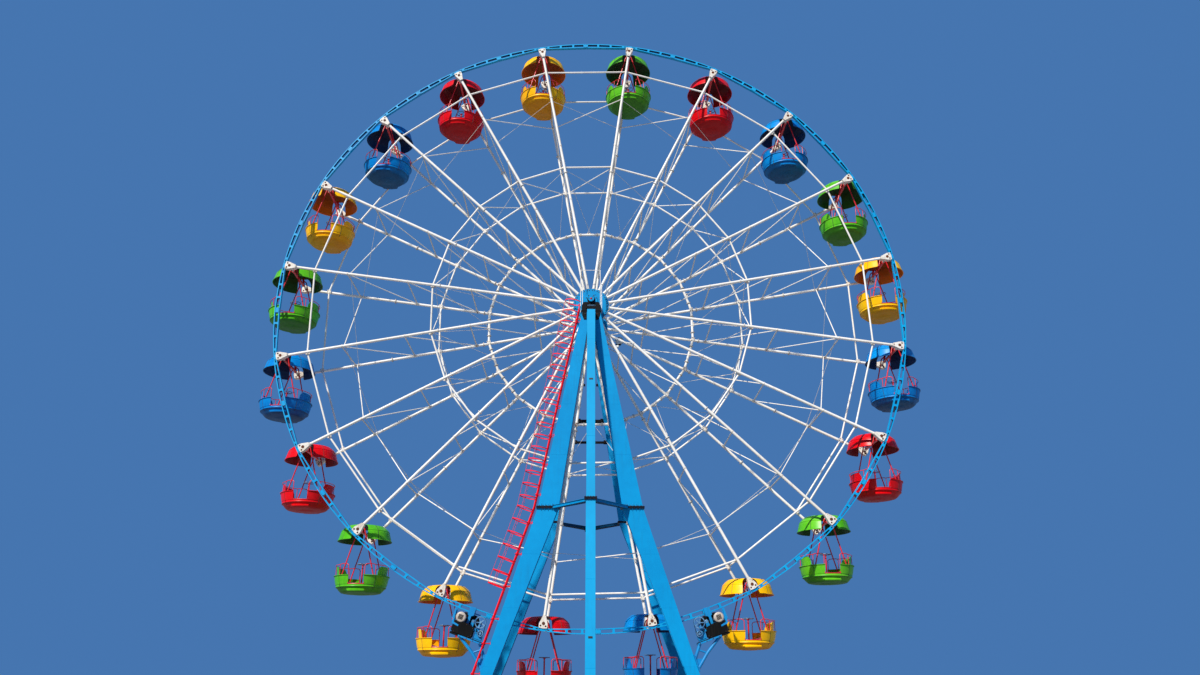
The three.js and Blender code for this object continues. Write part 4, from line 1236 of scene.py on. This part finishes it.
def make_grip_wheel(work):
    """Post in the middle of the cabin, with the wheel that its riders hold."""
    tube(work, [(0, 0, WELL_FLOOR), (0, 0, GRIP_HEIGHT - 0.02)], 0.03, 16)
    disc(work, 0.09, 0.012, 20, shift(0, 0, WELL_FLOOR + 0.012))
    tube(work, [(x, y, GRIP_HEIGHT) for x, y in arc(GRIP_RING, 0, 348, 29)], 0.014, 8, GRIP, True)
    for (x0, y0), (x1, y1) in zip(arc(0.03, 45, 315, 3), arc(GRIP_RING - 0.005, 45, 315, 3)):
        tube(work, [(x0, y0, GRIP_HEIGHT - 0.025), (x1, y1, GRIP_HEIGHT - 0.002)], 0.009, 8, GRIP)
    turned(work, [(0, 0), (0.055, 0), (0.06, 0.01), (0.055, 0.03), (0.03, 0.045), (0, 0.05)], 20,
           shift(0, 0, GRIP_HEIGHT - 0.045))


def make_hanger(work, side):
    """Bent tube frame that runs from the tub, over the shaft and down to the tub again."""
    y = side * HANGER_Y
    radius, lift = HANGER_ARCH
    arch = arc(radius, 15, 165, 10, (0, lift))
    foot = [(HANGER_FOOT[0], -1.95), HANGER_FOOT]
    path = foot + arch + [(-x, z) for x, z in reversed(foot)]
    tube(work, [(x, y, z) for x, z in path], 0.025, 14)
    sleeve(work, HANGER_BORE, 0.07, 0.07, 20, facing((0, y - 0.035, 0), (0, 1, 0)))
    plate(work, [(-0.05, 0.06), (0.05, 0.06), (0.04, 0.16), (-0.04, 0.16)], 0.014, upright(y - 0.007))
    end = y - side * 0.1
    near, far = sorted((y, end))
    block(work, (-0.05, near, HANGER_LEDGE), (0.05, far, HANGER_LEDGE + 0.01))
    block(work, (-0.05, end - 0.005, HANGER_LEDGE), (0.05, end + 0.005, HANGER_LEDGE + 0.1))
    for x in (-0.03, 0.03):
        bolt(work, (x, y, HANGER_LEDGE + 0.01), UP, 0.009)
    for hand in (-1, 1):
        for z in (-1.90, -1.83):
            bolt(work, (hand * HANGER_FOOT[0], y + side * 0.02, z), (hand * 0.64, y, 0), 0.011)


def make_handrails(work, side):
    """Rail round one half of the tub, with a hoop beside each doorway."""
    rail = [round_cabin(HANDRAIL_RING, side * (41 + 98 * n / 16), HANDRAIL) for n in range(17)]
    tube(work, rail, 0.014, 10)
    for azimuth in (42 * side, 90 * side, 138 * side):
        post = [round_cabin(1.05, azimuth, -1.70), round_cabin(HANDRAIL_RING, azimuth, HANDRAIL)]
        tube(work, post, 0.013, 8)
    for low, high in ((18, 42), (162, 138)):
        hoop = [round_cabin(r, side * (low + (high - low) * share), z) for r, share, z in DOOR_HOOP]
        tube(work, hoop, 0.015, 10)


def make_cabin_steelwork():
    """Frames, rails, benches, floor and grip wheel, measured from the middle of the shaft."""
    work = Steelwork()
    sleeve(work, HANGER_BORE, 0.058, 2 * HANGER_Y, 20, facing((0, -HANGER_Y, 0), (0, 1, 0)))
    for side in (-1, 1):
        make_hanger(work, side)
        make_handrails(work, side)
        bench = [(x * side, y) for x, y in arc(TUB_INSIDE, -68, 68, 20)]
        plate(work, bench, 0.03, shift(0, 0, BENCH_TOP - 0.03), 0, 0.004)
        near, far = sorted((side * WELL_REACH, side * 0.9))
        block(work, (-WELL_HALF, near, STEP_FLOOR - 0.006), (WELL_HALF, far, STEP_FLOOR + 0.006))
        wall = side * WELL_REACH
        block(work, (-WELL_HALF, wall - 0.006, WELL_FLOOR), (WELL_HALF, wall + 0.006, STEP_FLOOR))
        sill = [round_cabin(TUB_INSIDE, 90 - 90 * side + azimuth, -2.04) for azimuth in range(-18, 19, 4)]
        tube(work, sill, 0.016, 8)
    block(work, (-WELL_HALF, -WELL_REACH, WELL_FLOOR), (WELL_HALF, WELL_REACH, WELL_FLOOR + 0.012))
    make_grip_wheel(work)
    return work


cabin_shell = make_cabin_shell()
cabin_steelwork = make_cabin_steelwork()
for number, (colour, spoke_place) in enumerate(zip(CABIN_COLOURS, SPOKE_PLACES), 1):
    label = f"{number:02d}"
    hung = Matrix.Translation(spoke_place @ Vector((0, 0, PIVOT_RADIUS)))
    finishes = [cabin_paints[colour], seam_dark, cabin_shaded_insides[colour]]
    piece(f"cabin_shell_{label}", cabin_shell, finishes, f"hanging_cabin_{label}", f"cabin_{colour}",
          f"cabin_{label}", place=hung)
    piece(f"cabin_steelwork_{label}", cabin_steelwork, [red_steel, bolt_steel, wheel_grey],
          f"hanging_cabin_{label}", "ladder_red", place=hung)


# Ladder
# A red ladder with a safety cage climbs the outer edge of the front left leg, by which
# the bearing is reached. Its hoops are bent from flat bar, square to the leg, and thin
# straps run down the cage. Brackets with clamps hold its two stiles off the leg.

LADDER_OFF = 0.15
LADDER_SPLAY = 0.02
LADDER_FOOT, LADDER_TOP = 1.90, 16.50
STILE_RADIUS = 0.034
STILES = (-1.95, -1.65)
LOW_RUNGS = (2.05, 2.58)
RUNG_START, RUNG_STEP, RUNG_END = 3.08, 0.33, 16.4
RUNG_RADIUS = 0.011
HOOP_STEP, HOOP_HALF = 0.49, 0.02
CAGE_LOW, CAGE_HIGH = 5.03, 16.8
HOOP_PATH = ((0, -1.985), (0.10, -2.08), (0.28, -2.14), (0.46, -2.11), (0.60, -2.0), (0.665, -1.88),
             (0.68, -1.80), (0.665, -1.72), (0.60, -1.62), (0.46, -1.52), (0.28, -1.48), (0.10, -1.53),
             (0, -1.615))
HOOP_STRAPS = (3, 6, 9)
BRACKETS = (1.96, 3.02, 3.9, 5.1, 6.3, 7.5, 8.6, 9.8, 11.0, 12.2, 13.5, 14.7, 16.0)

ladder_red = painted("ladder red", (236, 4, 26), (246, 22, 38), patches=0.8, dirt=0.25,
                     dirt_and_shade_colour=(132, 16, 24), flaking=0.14, chips=30.0, shine=(0.35, 0.75), gloss=0.2)


def on_ladder(z):
    """Middle of the stiles at a height."""
    return -leg_edges(z)[1] - LADDER_OFF - LADDER_SPLAY * max(0.0, KNEE - z)


def cage_place(z):
    """Place of a hoop: X runs out from the leg and Z down along it."""
    run = on_ladder(z + 0.1) - on_ladder(z - 0.1)
    down = Vector((-run, 0, -0.2)).normalized()
    out = Vector((0, 1, 0)).cross(down)
    return Matrix(((out.x, 0, down.x, on_ladder(z)), (0, 1, 0, 0), (out.z, 0, down.z, z), (0, 0, 0, 1)))


def make_ladder():
    """Stiles, rungs, cage, brackets and the handle at the top."""
    work = Steelwork()
    for y in STILES:
        tube(work, [(on_ladder(z), y, z) for z in (LADDER_FOOT, KNEE, LADDER_TOP)], STILE_RADIUS, 14)
    rungs = int((RUNG_END - RUNG_START) / RUNG_STEP) + 1
    for z in [*LOW_RUNGS, *(RUNG_START + RUNG_STEP * n for n in range(rungs))]:
        tube(work, [(on_ladder(z), y, z) for y in STILES], RUNG_RADIUS, 8)
    inside = grown(list(HOOP_PATH), 0.006)
    for n in range(int((CAGE_HIGH - CAGE_LOW) / HOOP_STEP) + 1):
        place = cage_place(CAGE_LOW + HOOP_STEP * n)
        grids = [[[(v, y, w) for v, y in path] for w in (-HOOP_HALF, HOOP_HALF)]
                 for path in (HOOP_PATH, inside)]
        moulding(work, *grids, place=place)
    for strap in HOOP_STRAPS:
        at = Vector((*inside[strap], 0))
        heights = (CAGE_LOW - 0.02, KNEE - 0.1, KNEE + 0.1, CAGE_HIGH)
        tube(work, [cage_place(z) @ at for z in heights], 0.007, 6)
    for z in BRACKETS:
        edge, x = -leg_edges(z)[1], on_ladder(z)
        block(work, (edge - 0.01, STILES[0] - 0.04, z - 0.05), (edge + 0.004, STILES[1] + 0.04, z + 0.05))
        for y in STILES:
            tube(work, [(x, y, z), (edge, y, z)], 0.014, 8)
            sleeve(work, 0.03, 0.043, 0.07, 14, cage_place(z) @ shift(0, y, -0.035))
            turned(work, [(0, 0), (0.02, 0.004), (0.026, 0.02), (0.018, 0.038), (0, 0.044)], 12,
                   facing((x - 0.03, y - 0.03, z), (-1, -1, 0)))
    near, far = STILES
    low, bend, high = LADDER_TOP - 0.1, LADDER_TOP + 0.14, LADDER_TOP + 0.22
    handle = [(near, low), (near, bend), (near + 0.05, high), (far - 0.05, high), (far, bend), (far, low)]
    tube(work, [(on_ladder(LADDER_TOP), y, z) for y, z in handle], 0.02, 10)
    return work


piece("caged_ladder", make_ladder(), [ladder_red], "tower", "ladder_red", "ladder")


# Drives
# Two friction drives press rubber tyres against the rim near its foot, one on each side.
# A cast motor turns each drive by belts over spoked pulleys. The carrier under it stands
# on two slanting arms from a shoe on the side of the leg.

DRIVE_ANGLE = 160.5
DRIVE_SEAT = 14.43
CARRIER = 0.06
DRIVE_Y = (-1.96, -1.19)
ARM_Y = -1.80
ARM_RADIUS = 0.06
ARM_BEND = (4.41, 2.71)
ARM_FEET = (2.155, 2.51)
ARM_SINK = 0.06
SHOE_LOW, SHOE_HIGH, SHOE_DEPTH, SHOE_HALF = 2.04, 2.63, 0.07, 0.09
MOTOR_AT = (-0.27, 13.81)
TYRE_AT, TYRE_Y = 13.80, -1.49
TYRE_RADIUS = 0.235
TYRE_CHEEKS, SADDLE_PLATES = (-1.535, -1.23), (-1.62, -1.48)
PULLEY_AT = (0.50, 13.75)
SMALL_PULLEY_AT = (0.64, 14.125)
CASING_MIDDLE = 14.19
RUBBER, CREAM, PULLEY, STEEL = range(1, 5)

drive_blue = painted("drive blue", (0, 122, 186), (2, 140, 200), patches=1.5, dirt=0.7,
                     dirt_and_shade_colour=(14, 40, 58), flaking=0.34, chips=26.0, shine=(0.4, 0.75))
rubber = painted("worn rubber", (4, 5, 6), (12, 13, 14), patches=2.5, dust=0.15,
                 dirt_and_shade_colour=(52, 48, 40), flaking=0.0, shine=(0.7, 0.95), peel=90.0, gloss=0.12)
motor_cream = painted("motor cream", (192, 180, 166), (168, 154, 138), patches=3.0, dirt=0.9,
                      dirt_and_shade_colour=(84, 70, 52), shine=(0.4, 0.75))
pulley_blue = painted("pulley blue", (30, 100, 150), (130, 170, 196), patches=3.0, dirt=0.8,
                      dirt_and_shade_colour=(16, 22, 28), flaking=0.4, chips=34.0, shine=(0.35, 0.7))


def make_pulley(work, x, z, y, radius, spokes):
    """Spoked belt pulley with its grooved rim."""
    groove, inner = radius - 0.012, radius - 0.03
    section = [(inner, 0), (radius, 0), (groove, 0.02), (radius, 0.04), (groove, 0.06), (radius, 0.08),
               (inner, 0.08)]
    turned(work, section, 32, upright(y, x, z), PULLEY, True)
    disc(work, 0.045, 0.09, 16, upright(y - 0.005, x, z), PULLEY)
    for n in range(spokes):
        block(work, (-0.016, 0.03, 0.04), (0.016, 0.05, radius - 0.02), PULLEY, 0.003,
              shift(x, y, z) @ turned_by(360 * n / spokes))


def make_tyres(work):
    """Two rubber tyres side by side, between cheeks of blue plate."""
    r = TYRE_RADIUS
    for x in (-0.17, 0.17):
        wheel = upright(TYRE_Y, x, TYRE_AT)
        turned(work, [(0.07, 0), (r - 0.045, 0), (r - 0.01, 0.03), (r, 0.09), (r, 0.15), (r - 0.01, 0.21),
                      (r - 0.045, 0.24), (0.07, 0.24)], 36, wheel, RUBBER, True)
        turned(work, [(0, -0.05), (0.05, -0.05), (0.05, -0.01), (0.075, 0), (0.075, 0.24), (0.05, 0.25),
                      (0.05, 0.30), (0, 0.30)], 20, wheel, PULLEY)
        cheek = [(x - 0.12, DRIVE_SEAT), (x - 0.05, TYRE_AT - 0.05), (x + 0.05, TYRE_AT - 0.05),
                 (x + 0.12, DRIVE_SEAT)]
        for y in TYRE_CHEEKS:
            plate(work, cheek, 0.02, upright(y), 0, 0.003)


def make_motor(work):
    """Cast motor with cooling fins, its cream end cover towards the front."""
    x, z = MOTOR_AT
    front = DRIVE_Y[0]
    turned(work, [(0, 0), (0.13, 0), (0.175, 0.012), (0.19, 0.03), (0.19, 0.1), (0.17, 0.105), (0.17, 0.38),
                  (0.14, 0.42), (0, 0.42)], 36, upright(front, x, z), CREAM)
    for n in range(24):
        block(work, (-0.004, front + 0.12, 0.165), (0.004, front + 0.36, 0.185), CREAM, 0.001,
              shift(x, 0, z) @ turned_by(15 * n))
    for across in (0.028 * n for n in range(-3, 4)):
        block(work, (x - 0.09, front - 0.004, z + across - 0.006),
              (x + 0.09, front + 0.004, z + across + 0.006), RUBBER, 0.001)
        block(work, (x + across - 0.006, front - 0.005, z - 0.09),
              (x + across + 0.006, front + 0.003, z + 0.09), RUBBER, 0.001)
    block(work, (x - 0.13, front + 0.14, z + 0.16), (x + 0.13, front + 0.34, 14.02), 0, 0.006)


def make_belt(work, y, *wheels):
    """Belt that runs round two pulleys, each given as its centre and radius."""
    (x0, z0, r0), (x1, z1, r1) = wheels
    lift = degrees(atan2(z1 - z0, x1 - x0))
    path = arc(r1, lift - 90, lift + 90, 10, (x1, z1)) + arc(r0, lift + 90, lift + 270, 10, (x0, z0))
    tube(work, [(x, y, z) for x, z in path], 0.009, 6, RUBBER, True)


def make_drive():
    """The right drive, seen from the hub: X runs clockwise and Z outwards."""
    work = Steelwork()
    front, back = DRIVE_Y
    deck = DRIVE_SEAT + CARRIER
    block(work, (-0.45, front, DRIVE_SEAT), (-0.12, back, deck), RUBBER, 0.006)
    block(work, (-0.12, front, DRIVE_SEAT), (0.80, back, deck), 0, 0.006)
    block(work, (-0.44, front + 0.02, DRIVE_SEAT - 0.03), (0.78, back - 0.02, DRIVE_SEAT), RUBBER, 0.004)
    for x in (-0.04, 0.22, 0.48, 0.74):
        bolt(work, (x, front, DRIVE_SEAT + CARRIER / 2), (0, -1, 0), 0.013, STEEL)
    casing = [(-0.45, 14.0), (-0.3, 13.95), (0.05, 13.96), (0.34, 14.02), (0.36, 14.34), (0.28, 14.41),
              (-0.36, 14.41), (-0.45, 14.34)]
    plate(work, casing, 0.38, upright(front + 0.05), RUBBER, 0.02)
    for y in (front + 0.02, front + 0.20, front + 0.40):
        plate(work, grown(casing, -0.012), 0.02, upright(y), RUBBER, 0.004)
    for x, z in casing:
        inward = CASING_MIDDLE + (z - CASING_MIDDLE) * 0.86
        bolt(work, (x * 0.93, front + 0.02, inward), (0, -1, 0), 0.011, STEEL)
    make_tyres(work)
    make_motor(work)
    saddle = [(-0.10, 13.33), (0.12, 13.30), (0.13, 13.60), (0.05, 13.66), (0.06, 14.0), (-0.04, 14.0),
              (-0.05, 13.66), (-0.11, 13.62)]
    plate(work, saddle, 0.03, upright(SADDLE_PLATES[0]), 0, 0.004)
    plate(work, saddle[:4] + saddle[6:], 0.03, upright(SADDLE_PLATES[1]), 0, 0.004)
    block(work, (-0.08, -1.60, 13.36), (0.10, -1.47, 13.60), 0, 0.008)
    make_pulley(work, *PULLEY_AT, front + 0.005, 0.215, 5)
    make_pulley(work, *SMALL_PULLEY_AT, front + 0.01, 0.115, 4)
    for y in (front + 0.035, front + 0.065):
        make_belt(work, y, (*PULLEY_AT, 0.213), (*SMALL_PULLEY_AT, 0.113))
    for x, z, half, rise in ((0.39, 14.08, 0.10, 0.05), (0.60, 14.29, 0.15, 0.07), (0.50, 13.98, 0.05, 0.2)):
        block(work, (x - half, front + 0.10, z - rise), (x + half, front + 0.30, z + rise), 0, 0.01)
    block(work, (0.42, front + 0.12, 14.0), (0.74, front + 0.26, DRIVE_SEAT), 0, 0.01)
    tube(work, [(PULLEY_AT[0], y, PULLEY_AT[1]) for y in (front + 0.02, -1.40)], 0.025, 12, PULLEY)
    strip = [(-0.59, 13.55), (-0.53, 13.54), (-0.45, 14.06), (-0.24, 14.10), (-0.24, 14.16), (-0.51, 14.13)]
    for y in (front + 0.01, front + 0.30):
        plate(work, strip, 0.02, upright(y), 0, 0.003)
    block(work, (-0.575, front + 0.02, 13.60), (-0.54, front + 0.31, 13.95), 0, 0.004)
    return work


def make_drive_stand():
    """Two arms from a shoe on the outer side of the right leg, with a crossbar and a web."""
    work = Steelwork()
    seat = wheel_place(DRIVE_ANGLE)
    feet = [Vector((leg_edges(z)[1] + ARM_SINK, ARM_Y, z)) for z in ARM_FEET]
    tops = [seat @ Vector((across, ARM_Y, DRIVE_SEAT + CARRIER / 2)) for across in (-0.08, 0.74)]
    bend = Vector((ARM_BEND[0], ARM_Y, ARM_BEND[1]))
    tube(work, [tops[0], bend, feet[0]], ARM_RADIUS, 20)
    tube(work, [tops[1], feet[1]], ARM_RADIUS, 20)
    tube(work, [bend.lerp(feet[0], 0.04), tops[1].lerp(feet[1], 0.42)], 0.034, 12)
    web = [(bend.x - 0.14, bend.z - 0.22), (feet[1].x, feet[1].z - 0.02),
           (feet[0].x - 0.03, feet[0].z + 0.02)]
    plate(work, web, 0.014, upright(ARM_Y - 0.007), 0, 0.003)
    edges = [(leg_edges(z)[1] + 0.0003, z) for z in (SHOE_LOW, SHOE_HIGH)]
    shoe = edges + [(x + SHOE_DEPTH, z) for x, z in reversed(edges)]
    plate(work, shoe, 2 * SHOE_HALF, upright(ARM_Y - SHOE_HALF), 0, 0.006)
    for z in (SHOE_LOW + 0.06, SHOE_HIGH - 0.06):
        for y in (-0.055, 0.055):
            bolt(work, (leg_edges(z)[1] + SHOE_DEPTH, ARM_Y + y, z), (0.95, 0, 0.31), 0.014, STEEL)
    return work


drive = Steelwork()
drive.put(make_drive(), wheel_place(DRIVE_ANGLE))
drive.put(make_drive_stand())
for hand, to_hand in HANDS.items():
    piece(f"{hand}_friction_drive", drive, [drive_blue, rubber, motor_cream, pulley_blue, bolt_steel],
          "tower", "drive_blue", f"{hand}_drive", place=to_hand)


# Guard rails and lamp
# Thin white guard rails stand at the tower's head, where a worker reaches the bearing,
# and a pale floodlight hangs on a short arm behind. Dark crossbars join the two rear
# legs below the head.

RAIL_Y = -1.80
RAIL_RADIUS = 0.013
RAIL_FOOT = 16.35
LATTICE_START, LATTICE_STEP, LATTICE_COUNT = 16.55, 0.17, 6
RAIL_POSTS = ((-0.45, 18.35), (-0.37, 17.62), (0.39, 18.35), (0.45, 17.62))
RAIL_BARS = ((-0.45, 0.39, 18.34), (-0.45, -0.30, 17.61), (0.33, 0.45, 17.61))
LAMP_GLASS = 1
LAMP_AT, LAMP_AIM = (1.31, 1.72, 16.38), (0.1, -1.0, -0.45)
LAMP_ARM = ((0.45, 1.8, 16.25), (0.95, 1.8, 16.22), (1.30, 1.8, 16.24))
REAR_BARS = ((12.56, 0.075), (11.6, 0.05))
BAR_NEAR, BAR_FAR, BAR_PLATE = 1.68, 1.76, 0.02
REAR_CLEATS = (14.24, 15.6)

lamp_glass = painted("floodlight glass", (226, 230, 226), (206, 208, 196), patches=3.0,
                     flaking=0.0, shine=(0.2, 0.6), coat=0.5)


def make_guard_rails():
    """Posts and bars on the heads of the front legs, with a small lattice."""
    work = Steelwork()
    for x, top in RAIL_POSTS:
        tube(work, [(x, RAIL_Y, RAIL_FOOT), (x, RAIL_Y, top)], RAIL_RADIUS, 8)
    for x0, x1, z in RAIL_BARS:
        tube(work, [(x0, RAIL_Y, z), (x1, RAIL_Y, z)], RAIL_RADIUS, 8)
    for z in (LATTICE_START + LATTICE_STEP * n for n in range(LATTICE_COUNT)):
        tube(work, [(RAIL_POSTS[2][0], RAIL_Y, z), (RAIL_POSTS[3][0], RAIL_Y, z + LATTICE_STEP)], 0.006, 6)
    return work


def make_rear_crossbars():
    """Two bars between the rear legs, and cleats on the legs' inner edges."""
    work = Steelwork()
    for z, half in REAR_BARS:
        x = leg_edges(z)[0] + 0.05
        block(work, (-x, BAR_NEAR, z - half), (x, BAR_FAR, z + half), 0, 0.004)
        for hand in (-1, 1):
            near, far = sorted((hand * (x - 0.2), hand * x))
            block(work, (near, BAR_NEAR - BAR_PLATE, z - half - 0.04), (far, BAR_NEAR, z + half + 0.04),
                  0, 0.003)
            for across in (-0.05, 0.05):
                bolt(work, (hand * (x - 0.1) + across, BAR_NEAR - BAR_PLATE, z), (0, -1, 0), 0.014)
    for z in REAR_CLEATS:
        for hand in (-1, 1):
            x = hand * leg_edges(z)[0]
            near, far = sorted((x - hand * 0.1, x + hand * 0.03))
            block(work, (near, 1.64, z - 0.05), (far, 1.72, z + 0.05), 0, 0.004)
    return work


def make_floodlight():
    """Round lamp with a pale glass on a short arm, tilted down towards the front."""
    work = Steelwork()
    tube(work, LAMP_ARM, 0.022, 10)
    lamp = facing(LAMP_AT, LAMP_AIM)
    turned(work, [(0, -0.16), (0.07, -0.15), (0.11, -0.10), (0.165, 0.0), (0.172, 0.02), (0.165, 0.035),
                  (0, 0.035)], 28, lamp, LAMP_GLASS)
    sleeve(work, 0.166, 0.182, 0.04, 28, lamp)
    block(work, (1.24, 1.74, 16.20), (1.38, 1.86, 16.27), 0, 0.01)
    turned(work, [(0, 0), (0.06, 0), (0.07, 0.03), (0.06, 0.09), (0, 0.11)], 20,
           shift(1.24, 1.8, 16.10), LAMP_GLASS)
    return work


piece("guard_rails", make_guard_rails(), [spoke_white], "tower", "steel_white")
piece("rear_crossbars", make_rear_crossbars(), [cast_iron, bolt_steel], "tower", "dark_steel")
piece("floodlight", make_floodlight(), [cast_iron, lamp_glass], "tower", "dark_steel")


# Floor, light and camera
# The wheel stands on a plain pale floor under a plain blue sky, with a high soft sun from
# the front left, as on the day of the photograph. The camera is at a visitor's eye
# height, far enough off to take in the whole wheel.

SKY = srgb(78, 130, 194)
SKY_STRENGTH = 0.8
SUN_STRENGTH = 5.0
SUN_SOFTNESS = 3.0
SUN_FROM = Vector((-0.40, -0.65, 0.68))
SUN_COLOUR = (1.0, 0.96, 0.9)
FLOOR_HALF = 300
FLOOR_GREY = (0.28, 0.285, 0.29, 1.0)
CAMERA_AT = (-0.13, -38.674, 1.656)
CAMERA_LENS = 28.07
CAMERA_TILT, CAMERA_TURN = 0.3532, -0.0137

floor_mesh = bpy.data.meshes.new("floor")
floor_corners = [(x * FLOOR_HALF, y * FLOOR_HALF, 0) for x, y in ((-1, -1), (1, -1), (1, 1), (-1, 1))]
floor_mesh.from_pydata(floor_corners, [], [(0, 1, 2, 3)])
floor_finish = bpy.data.materials.new("plain floor")
floor_finish.use_nodes = True
floor_shader = floor_finish.node_tree.nodes["Principled BSDF"]
floor_shader.inputs["Base Color"].default_value = FLOOR_GREY
floor_shader.inputs["Roughness"].default_value = 0.9
floor_mesh.materials.append(floor_finish)
floor = bpy.data.objects.new("floor", floor_mesh)
bpy.context.scene.collection.objects.link(floor)

world = bpy.data.worlds.new("plain sky")
bpy.context.scene.world = world
world.use_nodes = True
sky = world.node_tree.nodes["Background"]
sky.inputs["Color"].default_value = SKY
sky.inputs["Strength"].default_value = SKY_STRENGTH

sun_data = bpy.data.lights.new("soft sun", "SUN")
sun_data.energy = SUN_STRENGTH
sun_data.angle = radians(SUN_SOFTNESS)
sun_data.color = SUN_COLOUR
sun = bpy.data.objects.new("soft sun", sun_data)
sun.rotation_euler = SUN_FROM.to_track_quat("Z", "Y").to_euler()
bpy.context.scene.collection.objects.link(sun)

camera_data = bpy.data.cameras.new("visitor")
camera_data.lens = CAMERA_LENS
camera_data.sensor_width = 36.0
camera_data.clip_end = 2000.0
camera = bpy.data.objects.new("visitor", camera_data)
camera.location = CAMERA_AT
camera.rotation_euler = (pi / 2 + CAMERA_TILT, 0.0, CAMERA_TURN)
bpy.context.scene.collection.objects.link(camera)
bpy.context.scene.camera = camera
bpy.context.scene.view_settings.view_transform = "Standard"
